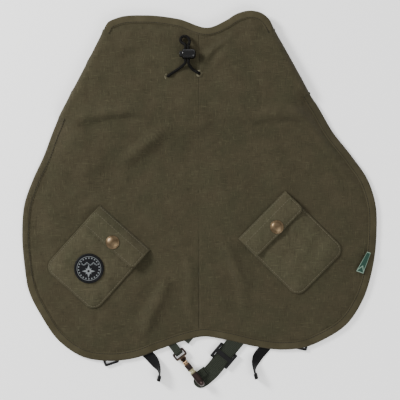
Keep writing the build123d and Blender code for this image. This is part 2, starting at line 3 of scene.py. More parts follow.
import bpy
import numpy as np
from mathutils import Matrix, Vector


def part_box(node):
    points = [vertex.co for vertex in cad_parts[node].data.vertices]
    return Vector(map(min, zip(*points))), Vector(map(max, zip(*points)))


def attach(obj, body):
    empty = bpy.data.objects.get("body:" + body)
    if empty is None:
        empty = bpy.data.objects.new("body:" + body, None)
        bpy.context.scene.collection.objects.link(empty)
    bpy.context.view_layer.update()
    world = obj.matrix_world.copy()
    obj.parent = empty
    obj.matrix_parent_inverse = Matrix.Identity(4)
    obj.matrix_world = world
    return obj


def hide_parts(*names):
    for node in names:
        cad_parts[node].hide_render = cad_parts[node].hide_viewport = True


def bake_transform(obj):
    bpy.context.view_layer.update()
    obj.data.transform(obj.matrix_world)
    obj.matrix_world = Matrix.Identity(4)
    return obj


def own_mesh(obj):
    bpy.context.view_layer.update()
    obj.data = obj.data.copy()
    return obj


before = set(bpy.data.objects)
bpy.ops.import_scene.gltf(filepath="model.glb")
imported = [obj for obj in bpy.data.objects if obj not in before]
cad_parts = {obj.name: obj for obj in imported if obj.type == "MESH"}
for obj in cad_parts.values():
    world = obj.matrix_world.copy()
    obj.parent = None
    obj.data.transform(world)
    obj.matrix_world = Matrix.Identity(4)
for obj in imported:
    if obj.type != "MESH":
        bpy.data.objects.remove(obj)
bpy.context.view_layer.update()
mm = 0.001
print("frame loaded:", len(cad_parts), "nodes")

# stage, camera and lights
stage = {
    "span": 0.456, "distance": 1.7, "sensor": 36.0, "sky": 0.72,
    "floorSize": 6.0, "floorColour": (0.97, 0.97, 0.965), "floorGlow": 0.36, "floorRoughness": 0.9,
    "lamps": [("keyLight", (-1.25, 0.75, 0.95), 0.45, 40.0), ("fillLight", (0.75, -1.0, 1.35), 0.9, 15.0)],
}


def linked(name, data):
    thing = bpy.data.objects.new(name, data)
    bpy.context.collection.objects.link(thing)
    return thing


def buildStage():
    camData = bpy.data.cameras.new("camera")
    camData.sensor_width = stage["sensor"]
    camData.lens = stage["sensor"] * stage["distance"] / stage["span"]
    camera = linked("camera", camData)
    camera.location = (0, 0, stage["distance"])
    bpy.context.scene.camera = camera
    for name, place, size, power in stage["lamps"]:
        lamp = bpy.data.lights.new(name, "AREA")
        lamp.size = size
        lamp.energy = power
        lampObject = linked(name, lamp)
        lampObject.location = place
        x, y, z = np.array(place) / np.linalg.norm(place)
        lampObject.rotation_euler = (math.acos(z), 0, math.atan2(y, x) + math.pi / 2)
    world = bpy.data.worlds.new("studio")
    world.use_nodes = True
    sky = world.node_tree.nodes["Background"]
    sky.inputs["Color"].default_value = (1, 1, 1, 1)
    sky.inputs["Strength"].default_value = stage["sky"]
    bpy.context.scene.world = world
    half = stage["floorSize"] / 2
    corners = [(-half, -half, 0), (half, -half, 0), (half, half, 0), (-half, half, 0)]
    mesh = bpy.data.meshes.new("floor")
    mesh.from_pydata(corners, [], [(0, 1, 2, 3)])
    paint = bpy.data.materials.new("floorPaint")
    paint.use_nodes = True
    shader = paint.node_tree.nodes["Principled BSDF"]
    for socket, value in (("Base Color", (*stage["floorColour"], 1)),
                          ("Roughness", stage["floorRoughness"]),
                          ("Emission Color", (1, 1, 1, 1)), ("Emission Strength", stage["floorGlow"])):
        shader.inputs[socket].default_value = value
    mesh.materials.append(paint)
    linked("floor", mesh)


buildStage()

# materials


class Paint:
    # A node material: each call adds nodes and wires them. A stop of a ramp is (place, grey).

    def __init__(self, name, roughness=0.8, metallic=0.0, sheen=0.0, specular=0.3):
        self.material = bpy.data.materials.new(name)
        self.material.use_nodes = True
        self.nodes = self.material.node_tree.nodes
        self.links = self.material.node_tree.links
        self.shader = self.nodes["Principled BSDF"]
        self.coord = self.nodes.new("ShaderNodeTexCoord")
        for socket, value in (("Roughness", roughness), ("Metallic", metallic), ("Sheen Weight", sheen),
                              ("Sheen Roughness", 0.5), ("Specular IOR Level", specular)):
            self.shader.inputs[socket].default_value = value

    def feed(self, socket, value):
        if hasattr(value, "is_output"):
            self.links.new(value, socket)
        else:
            socket.default_value = (*value, 1) if socket.type == "RGBA" else value

    def make(self, kind, values):
        node = self.nodes.new("ShaderNode" + kind)
        for socket, value in values.items():
            self.feed(node.inputs[socket], value)
        return node

    def where(self, stretch, turn, source="Object"):
        values = {"Scale": stretch, "Rotation": (0, 0, turn), "Vector": self.coord.outputs[source]}
        return self.make("Mapping", values).outputs["Vector"]

    def noise(self, scale, detail=3.0, stretch=(1, 1, 1), turn=0):
        values = {"Scale": scale, "Detail": detail, "Vector": self.where(stretch, turn)}
        return self.make("TexNoise", values).outputs["Fac"]

    def wave(self, scale, direction, distortion=0.0, source="Object", turn=0):
        node = self.make("TexWave", {"Scale": scale, "Distortion": distortion, "Detail": 1.0,
                                     "Vector": self.where((1, 1, 1), turn, source)})
        node.bands_direction = direction
        return node.outputs["Fac"]

    def ramp(self, value, *stops):
        node = self.make("ValToRGB", {"Fac": value})
        while len(node.color_ramp.elements) < len(stops):
            node.color_ramp.elements.new(0.5)
        for element, (place, grey) in zip(node.color_ramp.elements, stops):
            element.position = place
            element.color = (grey, grey, grey, 1)
        return node.outputs["Color"]

    def mix(self, factor, a, b):
        node = self.nodes.new("ShaderNodeMix")
        node.data_type = "RGBA"
        for index, value in ((0, factor), (6, a), (7, b)):
            self.feed(node.inputs[index], value)
        return node.outputs[2]

    def over(self, base, top, value, low, high, share=1.0):
        # Lays top over base, more as value rises from low to high, up to the given share.
        return self.mix(self.ramp(value, (low, 0), (high, share)), base, top)

    def math(self, kind, a, b=0.0):
        node = self.nodes.new("ShaderNodeMath")
        node.operation = kind
        self.feed(node.inputs[0], a)
        self.feed(node.inputs[1], b)
        return node.outputs[0]

    def colour(self, value):
        self.feed(self.shader.inputs["Base Color"], value)

    def rough(self, value, low, high):
        node = self.make("MapRange", {"Value": value, "To Min": low, "To Max": high})
        self.feed(self.shader.inputs["Roughness"], node.outputs["Result"])

    def bump(self, *layers):
        # layers are (height, depth in metres) pairs, laid one on another.
        last = None
        for height, depth in layers:
            node = self.make("Bump", {"Strength": 1.0, "Distance": depth, "Height": height})
            if last is not None:
                self.links.new(last, node.inputs["Normal"])
            last = node.outputs["Normal"]
        self.feed(self.shader.inputs["Normal"], last)


def tinted(colour, red, green, blue):
    return colour[0] * red, colour[1] * green, colour[2] * blue


def canvasPaint(name, dark, light, turn=0.0, slub=0.55):
    # Plain-weave canvas: two thread directions, slub streaks along both, waxed mottling.
    paint = Paint(name, roughness=0.88, sheen=0.04, specular=0.1)
    mottle = paint.noise(75, 6.0)
    patch = paint.noise(42, 5.0)
    warp = paint.noise(1.0, 2.0, stretch=(1100, 120, 300), turn=turn)
    weft = paint.noise(1.0, 2.0, stretch=(120, 1100, 300), turn=turn)
    base = paint.mix(paint.ramp(mottle, (0.28, 0.12), (0.74, 0.88)), dark, light)
    base = paint.over(base, tinted(dark, 0.90, 1.06, 1.02), patch, 0.40, 0.66, 0.48)
    for thread in (warp, weft):
        base = paint.over(base, tinted(light, 1.6, 1.75, 1.7), thread, 0.60, 0.78, slub)
        base = paint.mix(paint.ramp(thread, (0.24, slub), (0.40, 0)), base, tinted(dark, 0.5, 0.5, 0.5))
    paint.colour(base)
    paint.rough(mottle, 0.78, 0.93)
    threadX = paint.wave(560, "X", 0.4, turn=turn)
    threadY = paint.wave(560, "Y", 0.4, turn=turn)
    paint.bump((paint.math("MAXIMUM", threadX, threadY), 0.00012), (warp, 0.00030), (weft, 0.00030))
    return paint.material


def tapePaint(name, dark, light):
    # Twill tape: fine diagonal ribs that follow the tape's own direction.
    paint = Paint(name, roughness=0.88, sheen=0.04, specular=0.1)
    thread = paint.noise(1.0, 2.0, stretch=(900, 260, 300))
    base = paint.mix(paint.ramp(paint.noise(60, 4.0), (0.3, 0), (0.7, 1)), dark, light)
    paint.colour(paint.over(base, tinted(light, 1.6, 1.6, 1.5), thread, 0.58, 0.8, 0.3))
    paint.bump((paint.wave(1.0, "DIAGONAL", 0.3, source="UV"), 0.00010), (thread, 0.00018))
    return paint.material


def webPaint(name, dark, light, ribs, depth):
    # Woven webbing: cross ribs counted along the strap in the UV map, and thread noise.
    paint = Paint(name, roughness=0.72, sheen=0.02, specular=0.15)
    rib = paint.wave(ribs, "X", 0.15, source="UV")
    edge = paint.wave(ribs * 0.55, "Y", 0.1, source="UV")
    fuzz = paint.noise(900, 3.0)
    base = paint.mix(rib, dark, light)
    paint.colour(paint.over(base, tinted(light, 1.7, 1.7, 1.7), fuzz, 0.45, 0.8, 0.5))
    paint.bump((rib, depth), (edge, 0.00008), (fuzz, 0.00008))
    return paint.material


def liningPaint():
    # Brushed lining: short soft nap in a brown check.
    paint = Paint("liningPaint", roughness=0.95, sheen=0.35, specular=0.1)
    nap = paint.noise(1.0, 4.0, stretch=(700, 380, 300))
    cloud = paint.noise(30, 4.0)
    check = paint.math("MAXIMUM", paint.wave(13, "X"), paint.wave(13, "Y"))
    base = paint.mix(cloud, (0.060, 0.052, 0.036), (0.094, 0.081, 0.055))
    base = paint.over(base, (0.026, 0.030, 0.020), check, 0.965, 0.995, 0.6)
    paint.colour(paint.over(base, (0.16, 0.14, 0.10), nap, 0.4, 0.75, 0.4))
    paint.bump((nap, 0.0005), (cloud, 0.0005))
    return paint.material


def metalPaint(name, dark, light, roughLow, roughHigh):
    # Plated metal with tarnish in patches and fine rubbing marks.
    paint = Paint(name, metallic=1.0, roughness=0.35)
    tarnish = paint.noise(260, 5.0)
    paint.colour(paint.mix(paint.ramp(tarnish, (0.35, 0), (0.68, 1)), dark, light))
    paint.rough(tarnish, roughLow, roughHigh)
    paint.bump((paint.noise(1.0, 3.0, stretch=(2600, 420, 900)), 0.00004))
    return paint.material


def plasticPaint(name, dark, light, roughLow, roughHigh):
    # Moulded plastic: faint grain, handling marks in the gloss.
    paint = Paint(name, specular=0.35)
    marks = paint.noise(120, 4.0)
    paint.colour(paint.mix(marks, dark, light))
    paint.rough(marks, roughLow, roughHigh)
    paint.bump((paint.noise(1400, 3.0), 0.00003))
    return paint.material


def rubberPaint():
    # Moulded rubber badge: near black, greyer where the raised relief has rubbed.
    paint = Paint("badgeRubber", specular=0.15, roughness=0.55)
    height = paint.nodes.new("ShaderNodeAttribute")
    height.attribute_name = "relief"
    grain = paint.noise(900, 3.0)
    base = paint.mix(height.outputs["Fac"], (0.0020, 0.0024, 0.0032), (0.150, 0.160, 0.165))
    paint.colour(paint.over(base, (0.055, 0.058, 0.06), grain, 0.5, 0.8, 0.12))
    paint.rough(grain, 0.45, 0.7)
    paint.bump((grain, 0.00006))
    return paint.material


def cordPaint():
    # Braided cord: strands crossing on the diagonal, near black.
    paint = Paint("cordPaint", roughness=0.75, specular=0.12)
    cross = paint.wave(190, "DIAGONAL", 0.8)
    paint.colour(paint.mix(cross, (0.0012, 0.0011, 0.0009), (0.0055, 0.0050, 0.0042)))
    paint.bump((cross, 0.0003), (paint.noise(1.0, 2.0, stretch=(1500, 1500, 1500)), 0.0001))
    return paint.material


def labelPaint():
    # Woven label: green field, pale border and a plain pale chevron, from the UV map.
    paint = Paint("labelPaint", roughness=0.75, sheen=0.15, specular=0.3)
    u, v = paint.make("SeparateXYZ", {0: paint.coord.outputs["UV"]}).outputs[:2]
    across = paint.math("ABSOLUTE", paint.math("SUBTRACT", u, 0.5))
    along = paint.math("ABSOLUTE", paint.math("SUBTRACT", v, 0.5))
    sides = paint.math("GREATER_THAN", across, 0.43)
    border = paint.math("MAXIMUM", sides, paint.math("GREATER_THAN", along, 0.46))
    slope = paint.math("SUBTRACT", paint.math("MULTIPLY", across, 0.5), paint.math("SUBTRACT", v, 0.68))
    mark = paint.math("MAXIMUM", border, paint.math("LESS_THAN", paint.math("ABSOLUTE", slope), 0.035))
    thread = paint.wave(700, "X", 0.2)
    base = paint.mix(thread, (0.003, 0.024, 0.015), (0.006, 0.045, 0.028))
    paint.colour(paint.mix(mark, base, (0.16, 0.235, 0.18)))
    paint.bump((thread, 0.00006), (mark, 0.0001))
    return paint.material


def threadPaint(name, dark, light):
    # Spun thread: fleck noise between two shades.
    paint = Paint(name, roughness=0.8)
    paint.colour(paint.mix(paint.noise(1500), dark, light))
    return paint.material


oliveDark = (0.0370, 0.0312, 0.0170)
oliveLight = (0.0510, 0.0435, 0.0250)
coatCanvas = canvasPaint("coatCanvas", oliveDark, oliveLight)
pocketDark = (0.0450, 0.0390, 0.0215)
pocketLight = (0.0625, 0.0550, 0.0325)
pocketCanvas = {
    "left": canvasPaint("pocketCanvasLeft", pocketDark, pocketLight, turn=0.73),
    "right": canvasPaint("pocketCanvasRight", pocketDark, pocketLight, turn=-0.79),
}
bindingTape = tapePaint("bindingTape", (0.0390, 0.0335, 0.0180), (0.0530, 0.0460, 0.0258))
liningCloth = liningPaint()
beltWebbing = webPaint("beltWebbing", (0.0020, 0.0025, 0.0015), (0.0330, 0.0390, 0.0270), 1.0, 0.00040)
blackElastic = webPaint("blackElastic", (0.0006, 0.0006, 0.0007), (0.0030, 0.0030, 0.0031), 1.0, 0.0002)
darkThread = threadPaint("darkThread", (0.004, 0.0034, 0.002), (0.012, 0.010, 0.006))
oliveThread = threadPaint("oliveThread", (0.062, 0.056, 0.034), (0.120, 0.108, 0.070))
copperSnap = metalPaint("copperSnap", (0.112, 0.078, 0.043), (0.170, 0.122, 0.072), 0.36, 0.46)
eyeletBrass = metalPaint("eyeletBrass", (0.085, 0.075, 0.045), (0.26, 0.24, 0.165), 0.24, 0.4)
steelWire = metalPaint("steelWire", (0.42, 0.42, 0.42), (0.62, 0.62, 0.62), 0.25, 0.4)
blackPlastic = plasticPaint("blackPlastic", (0.0010, 0.0010, 0.0011), (0.0028, 0.0028, 0.0030), 0.14, 0.28)
badgeRubber = rubberPaint()
blackCord = cordPaint()
labelCloth = labelPaint()
print("materials made")

# drawcord, first of the pieces
drawcord = {
    "diameter": 0.0032,
    "length": 0.123,
    "route": [(-36.5, 139.5, 12.4), (-36.2, 139.9, 19.4), (-29.8, 144.2, 17.1), (-22.6, 149.0, 17.8),
              (-16.5, 154.0, 21.2), (-16.5, 156.2, 21.2), (-16.5, 173.0, 21.2), (-16.5, 175.0, 21.2),
              (-22.4, 178.4, 18.6), (-21.2, 184.6, 17.1), (-14.2, 185.0, 17.0), (-11.2, 179.0, 18.4),
              (-13.1, 174.6, 21.2), (-13.1, 172.8, 21.2), (-13.1, 156.2, 21.2), (-13.1, 154.0, 21.2),
              (-10.2, 149.0, 18.1), (-6.2, 145.6, 17.1), (-1.2, 143.2, 19.4), (-1.0, 143.0, 12.4)],
}


def buildDrawcord():
    curve = bpy.data.curves.new("drawcord", "CURVE")
    curve.dimensions = "3D"
    curve.bevel_depth = drawcord["diameter"] / 2
    curve.bevel_resolution = 6
    curve.resolution_u = 16
    curve.use_fill_caps = True
    line = curve.splines.new("NURBS")
    line.points.add(len(drawcord["route"]) - 1)
    route = np.array(drawcord["route"]) * mm
    line.points.foreach_set("co", np.c_[route, np.ones(len(route))].ravel())
    line.order_u = 3
    line.use_endpoint_u = True
    cord = linked("drawcord", curve)
    curve.materials.append(blackCord)
    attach(cord, "coat")
    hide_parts("neck_drawcord")


buildDrawcord()
print("drawcord laid")

# shapes in numpy, in millimetres


def smoothStep(value):
    value = np.clip(value, 0, 1)
    return value * value * (3 - 2 * value)


def lengthAlong(path):
    return np.r_[0, np.cumsum(np.linalg.norm(np.diff(path, axis=0), axis=1))]


def smoothCurve(points, step):
    # Cubic Hermite through the points, tangents from chord lengths, read out every step mm.
    points = np.array(points, float)
    chord = lengthAlong(points)
    slope = np.gradient(points, chord, axis=0)
    count = max(2, int(round(chord[-1] / step)) + 1)
    fine = np.linspace(0, chord[-1], count)
    index = np.clip(np.searchsorted(chord, fine, side="right") - 1, 0, len(chord) - 2)
    width = (chord[index + 1] - chord[index])[:, None]
    t = (fine - chord[index])[:, None] / width
    return ((2 * t ** 3 - 3 * t ** 2 + 1) * points[index] + (t ** 3 - 2 * t ** 2 + t) * width * slope[index]
            + (3 * t ** 2 - 2 * t ** 3) * points[index + 1] + (t ** 3 - t ** 2) * width * slope[index + 1])


def unitRows(rows):
    return rows / np.maximum(np.linalg.norm(rows, axis=-1, keepdims=True), 1e-9)


def ripple(x, y, size, seed):
    # Sum of eight sine waves of about the given wavelength, in seeded directions, from -1 to 1.
    rng = np.random.default_rng(seed)
    angle = rng.uniform(0, 2 * np.pi, 8)
    phase = rng.uniform(0, 2 * np.pi, 8)
    length = size * rng.uniform(0.7, 1.6, 8)
    total = sum(np.sin(2 * np.pi * (x * np.cos(a) + y * np.sin(a)) / l + p)
                for a, p, l in zip(angle, phase, length))
    return total / 4


def makeMesh(name, points, faces, material, uv=None, smooth=True):
    mesh = bpy.data.meshes.new(name)
    mesh.from_pydata((np.asarray(points) * mm).tolist(), [], faces)
    mesh.update()
    if uv is not None:
        layer = mesh.uv_layers.new(name="weave")
        corner = np.empty(len(mesh.loops), int)
        mesh.loops.foreach_get("vertex_index", corner)
        layer.data.foreach_set("uv", np.asarray(uv, float)[corner].ravel())
    mesh.polygons.foreach_set("use_smooth", np.full(len(mesh.polygons), True) & smooth)
    mesh.materials.append(material)
    return linked(name, mesh)


def gridFaces(rows, columns, closeRows=False, closeColumns=False):
    # Quads of a rows by columns grid of vertices, wrapped where a direction closes.
    i = np.arange(rows if closeRows else rows - 1)[:, None]
    j = np.arange(columns if closeColumns else columns - 1)[None, :]
    nextI, nextJ = (i + 1) % rows, (j + 1) % columns
    return np.stack([i * columns + j, i * columns + nextJ, nextI * columns + nextJ, nextI * columns + j],
                    axis=-1).reshape(-1, 4)


def tubeFaces(count, around):
    # The sides of a tube of count rings, and a face on each end.
    ends = [list(range(around))[::-1], [(count - 1) * around + k for k in range(around)]]
    return gridFaces(count, around, closeColumns=True).tolist() + ends


def placePiece(piece, body, slot, *nodes):
    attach(piece, body)
    if nodes:
        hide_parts(*nodes)
    return piece


# UV units along and across a strip for each millimetre, before the pitch is divided out
ribsPerMm = 0.314


def tubeShape(path, side, profile, uvPitch=1.0, widths=None):
    # A closed profile carried along a path. side is the profile's first axis, for each path point or
    # for all, and its second axis is across both. widths scales the first axis along the path.
    path = np.asarray(path, float)
    tangent = unitRows(np.gradient(path, axis=0))
    side = unitRows(side - (side * tangent).sum(1, keepdims=True) * tangent)
    up = np.cross(tangent, side)
    widths = np.ones(len(path)) if widths is None else widths
    points = (path[:, None] + side[:, None] * (profile[None, :, :1] * widths[:, None, None])
              + up[:, None] * profile[None, :, 1:])
    count, around = points.shape[:2]
    u = np.repeat(lengthAlong(path) * ribsPerMm / uvPitch, around)
    v = np.tile(profile[:, 0] * ribsPerMm, count)
    return points.reshape(-1, 3), tubeFaces(count, around), np.stack([u, v], 1)


def joinShapes(name, shapes, material):
    # Several (points, faces, uv) shapes as one mesh.
    points, faces, uv = [], [], []
    for part in shapes:
        start = sum(len(p) for p in points)
        points.append(part[0])
        faces += [[start + k for k in face] for face in part[1]]
        uv.append(part[2])
    return makeMesh(name, np.concatenate(points), faces, material, np.concatenate(uv))


def tube(name, path, side, profile, material, uvPitch=1.0, widths=None):
    return joinShapes(name, [tubeShape(path, side, profile, uvPitch, widths)], material)


def flatProfile(width, thickness, bulge=0.0):
    # Rounded strip section: a super-ellipse, counter-clockwise.
    angle = np.linspace(0, 2 * np.pi, 28, endpoint=False)
    c, s = np.cos(angle), np.sin(angle)
    x = np.sign(c) * np.abs(c) ** 0.35 * width / 2
    y = np.sign(s) * np.abs(s) ** 0.5 * thickness / 2
    return np.stack([x, y + bulge * (1 - (2 * x / width) ** 2)], 1)


def stitchRun(name, path, material, pitch=2.9, length=2.2, radius=0.26):
    # One small spindle for each stitch, set along the path every pitch.
    path = np.asarray(path, float)
    along = lengthAlong(path)
    count = max(1, int(along[-1] / pitch))
    middle = (np.arange(count) + 0.5) * along[-1] / count
    centre, ahead, behind = (np.stack([np.interp(middle + shift, along, path[:, k]) for k in range(3)], 1)
                             for shift in (0, 0.5, -0.5))
    t = unitRows(ahead - behind)
    side = unitRows(np.cross(t, (0.0, 0.0, 1.0)))
    up = np.cross(side, t)
    place = np.array([-0.5, -0.42, 0.0, 0.42, 0.5]) * length
    girth = np.array([0.25, 0.8, 1.0, 0.8, 0.25]) * radius
    sink = np.array([-0.30, -0.12, 0.0, -0.12, -0.30])
    angle = np.arange(6) * np.pi / 3
    ring = (t[:, None, None] * place[None, :, None, None]
            + side[:, None, None] * (girth[:, None] * np.cos(angle))[None, :, :, None]
            + up[:, None, None] * (girth[:, None] * np.sin(angle) + sink[:, None])[None, :, :, None])
    points = (centre[:, None, None] + ring).reshape(-1, 3)
    one = gridFaces(5, 6, closeColumns=True)
    faces = (one[None] + (np.arange(count) * 30)[:, None, None]).reshape(-1, 4).tolist()
    ends = [[k * 30 + j for j in range(6)][::-1] for k in range(count)]
    ends += [[k * 30 + 24 + j for j in range(6)] for k in range(count)]
    return makeMesh(name, points, faces + ends, material)


# the coat's outline
outline = {
    "step": 1.9,
    "neck": [(-109.5, 193), (-105, 200.5), (-94, 206), (-62.5, 209), (-25, 205), (11.5, 195.3), (29, 203),
             (43, 211.3), (58, 214.4), (70, 211.5), (79, 203.5), (84, 194)],
    "rightSide": [(84, 194), (103.5, 159.6), (124.5, 121)],
    "lobes": [(124.5, 121), (134.5, 105), (150.5, 77.5), (172, 50), (190.5, 23), (199.5, -5), (200.7, -35),
              (196, -78), (184.7, -114), (166.4, -141.4), (140, -158.8), (119, -167.3), (95, -170),
              (64, -166.5), (27.5, -158.3), (4, -155), (-18, -159.8), (-45.5, -169.3), (-73, -179.3),
              (-100, -182.7), (-134, -177.8), (-160.7, -159.6), (-180, -132.2), (-193.8, -105),
              (-200.6, -68.4), (-202.5, -32), (-200, -5), (-190.4, 22.8), (-177.8, 50.2), (-167.6, 77.5),
              (-160.3, 95)],
    "leftSide": [(-160.3, 95), (-126.5, 159.5), (-109.5, 193)],
    "bindingWidth": 9.3,
}
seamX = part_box("back_panel_left")[1][0] / mm
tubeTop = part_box("back_panel_left")[1][2] / mm
lobeTop = 6.8
clothThick = 1.1


def closedLoop():
    # The whole edge, clockwise from the left neck corner, with what each point's edge is like:
    # fold is 1 on the folded sides of the neck tube, tuck is 1 where the hem rolls under.
    names = ("neck", "rightSide", "lobes", "leftSide")
    parts = [smoothCurve(outline[key], outline["step"])[:-1] for key in names]
    loop = np.concatenate(parts)
    kind = np.concatenate([np.full(len(part), k) for k, part in enumerate(parts)])
    x, y = loop.T
    isFold = ((kind == 1) | (kind == 3)).astype(float)
    isNeck = (kind == 0).astype(float)
    isTuck = ((kind == 2) & (x < -100) & (y > -86)).astype(float)
    blur = np.hanning(15)[1:-1]
    blur /= blur.sum()

    def soften(values):
        return np.convolve(np.r_[values[-6:], values, values[:6]], blur, mode="valid")

    tangent = unitRows(np.roll(loop, -1, 0) - np.roll(loop, 1, 0))
    inward = np.stack([tangent[:, 1], -tangent[:, 0]], 1)
    pad = np.concatenate([inward[-2:], inward, inward[:2]])
    inward = unitRows(sum(pad[k:k + len(loop)] for k in range(5)))
    return loop, inward, soften(isFold), soften(isNeck), soften(isTuck)


edge, edgeIn, edgeFold, edgeNeck, edgeTuck = closedLoop()


def nearestEdge(x, y):
    # Distance to the outline and the index of the nearest outline point.
    flat = np.stack([np.ravel(x), np.ravel(y)], 1)
    gap = np.empty(len(flat))
    index = np.empty(len(flat), int)
    for start in range(0, len(flat), 4000):
        block = flat[start:start + 4000]
        square = ((block[:, None] - edge[None]) ** 2).sum(-1)
        index[start:start + 4000] = square.argmin(1)
        gap[start:start + 4000] = np.sqrt(square.min(1))
    return gap.reshape(np.shape(x)), index.reshape(np.shape(x))


def alongPath(x, y, path):
    # Distance to a curve, signed by side, and how far along it the nearest point is, 0 to 1.
    curve = smoothCurve(path, 4.0)
    flat = np.stack([np.ravel(x), np.ravel(y)], 1)
    square = ((flat[:, None] - curve[None]) ** 2).sum(-1)
    index = square.argmin(1)
    tangent = unitRows(np.gradient(curve, axis=0))
    offset = flat - curve[index]
    sign = np.sign(tangent[index, 0] * offset[:, 1] - tangent[index, 1] * offset[:, 0])
    distance = np.sqrt(square.min(1)) * sign
    return distance.reshape(np.shape(x)), (index / (len(curve) - 1)).reshape(np.shape(x))


creaseGain = 3.3
# each crease: half width, height, step up on its left, and its path
creases = [
    (5.5, -1.5, 0.9, [(-152, 74), (-125, 82), (-100, 88), (-70, 90), (-45, 84)]),
    (7, 0.8, 0, [(-140, 96), (-110, 98), (-80, 101), (-52, 97)]),
    (8, 1.5, 0, [(-40, 80), (-56, 66), (-74, 52), (-92, 34)]),
    (6, -0.9, 0, [(-62, 84), (-76, 70), (-92, 58)]),
    (6, -1.7, 1.1, [(22, 93), (40, 88), (57, 81), (82, 84), (108, 84), (124, 71), (138, 53), (154, 32),
                    (170, 10), (186, -8), (197, -22)]),
    (7, 1.1, 0, [(60, 97), (92, 98), (118, 96), (137, 78), (158, 48), (178, 20)]),
    (9, -1.3, 0, [(112, 78), (122, 58), (134, 38), (148, 18), (166, 0)]),
    (13, -1.3, 0, [(-42, 46), (-22, 34), (-8, 20), (0, 4)]),
    (8, 1.7, 0, [(-34, -88), (-46, -112), (-58, -136), (-66, -160)]),
    (6, -1.2, 0, [(-50, -92), (-62, -112), (-74, -134)]),
    (7, -1.6, 0, [(12, -42), (22, -66), (32, -92), (38, -118), (40, -134)]),
    (8, 1.3, 0, [(26, -40), (36, -66), (47, -96), (52, -124)]),
    (6, 0.8, 0, [(-14, -60), (-10, -86), (-12, -112), (-8, -140)]),
    (4.5, 1.3, 1, [(40, 192), (26, 180), (12, 168), (3, 156)]),
    (5, -0.9, 0, [(30, 178), (16, 164), (8, 150)]),
    (1.5, -0.7, 0, [(-117, -118), (-118, -140), (-118, -172)]),
    (14, 0.9, 0, [(-105, 70), (-120, 40), (-140, 18)]),
    (15, 0.8, 0, [(60, 60), (88, 40), (110, 18)]),
    (9, 0.5, 0, [(-30, 120), (20, 122), (70, 128)]),
    (6, -0.6, 0, [(-88, 160), (-70, 168), (-58, 182)]),
    (9, -0.7, 0, [(-150, -120), (-138, -138), (-122, -150)]),
    (9, -0.8, 0, [(104, -148), (128, -138), (148, -122)]),
]


# heights of the canvas's edges and the reach of its slopes
drape = {"rim": 3.5, "neckRim": 7.2, "foldRim": 4.4, "tuckRim": -1.3, "inner": 36, "spread": 26,
         "foldRadius": 8.0, "tuckRadius": 5.5, "lowest": 0.35}


def sheetTop(x, y):
    # Height of the canvas's upper face. It is high over the tube, low on the lobes, rounded at
    # the folded sides, and falls to the floor at bound edges, with creases and ripples laid on.
    x, y = np.asarray(x, float), np.asarray(y, float)
    gap, index = nearestEdge(x, y)
    line = 78 + 9 * np.sin((x + 30) / 42) - 0.0009 * x ** 2
    body = lobeTop + (tubeTop - lobeTop) * smoothStep((y - line + 34) / 52)
    inner = np.clip(gap / drape["inner"], 0, 1)
    spread = smoothStep(gap / drape["spread"])
    fold, neck, tuck = edgeFold[index], edgeNeck[index], edgeTuck[index]
    rim = drape["rim"] + drape["neckRim"] * neck + drape["foldRim"] * fold + drape["tuckRim"] * tuck
    soft = rim + (body - rim) * (1 - (1 - inner) ** 2)
    radius = drape["foldRadius"] * fold + drape["tuckRadius"] * tuck * (1 - fold) + 1e-3
    roundness = np.sqrt(np.clip(1 - (1 - np.clip(gap / radius, 0, 1)) ** 2, 0, 1))
    rounded = rim + (np.maximum(soft, rim + 3.0 * tuck) - rim) * roundness
    onFold = rim + (body - rim) * roundness * fold + (soft - rim) * (1 - fold)
    rounded = np.where(fold > 0.02, onFold, rounded)
    height = np.where(fold + tuck > 0.02, rounded, soft)
    folded = np.zeros_like(height)
    for width, tall, step, path in creases:
        distance, share = alongPath(x, y, path)
        ends = np.sin(np.pi * np.clip(share, 0.02, 0.98)) ** 0.6
        near = np.exp(-(distance / width) ** 2)
        wide = np.exp(-(distance / (4 * width)) ** 2)
        shape = tall * near + step * np.tanh(distance / width) * wide
        folded = folded + spread * ends * creaseGain * shape
    raised = np.log1p(np.exp(1.1 * (folded + 0.9))) / 1.1 - 1.0
    slack = smoothStep((y - 104) / 16) * smoothStep((np.abs(y - 141.5) - 8) / 12)
    height = height + spread * (raised + (np.maximum(folded, -4.5) - raised) * slack)
    flow = (0.75 * ripple(x, y * 0.7, 62, 3) + 0.36 * ripple(x, y, 27, 5) + 0.15 * ripple(x, y, 11, 7)
            + 0.05 * ripple(x, y, 4.6, 11))
    height = height + flow * (0.25 + 0.75 * spread)
    height = height - 0.55 * np.exp(-((gap - outline["bindingWidth"] - 0.5) / 0.8) ** 2) * (1 - fold)
    seam = np.exp(-((x - seamX) / 1.1) ** 2) * 0.42 * smoothStep((-15 - y) / 40)
    return np.maximum(height - seam * spread, drape["lowest"])


def polarRings(loop, inward, centre, offsets, rings):
    # Rows of points: the loop moved inward by each offset, then shrunk evenly to the centre.
    rows = [loop + inward * offset for offset in offsets]
    share = (np.arange(rings) + 1)[:, None, None] / rings
    inner = rows[-1][None] + (np.asarray(centre, float) - rows[-1])[None] * share
    return np.concatenate([np.stack(rows), inner[:-1]])


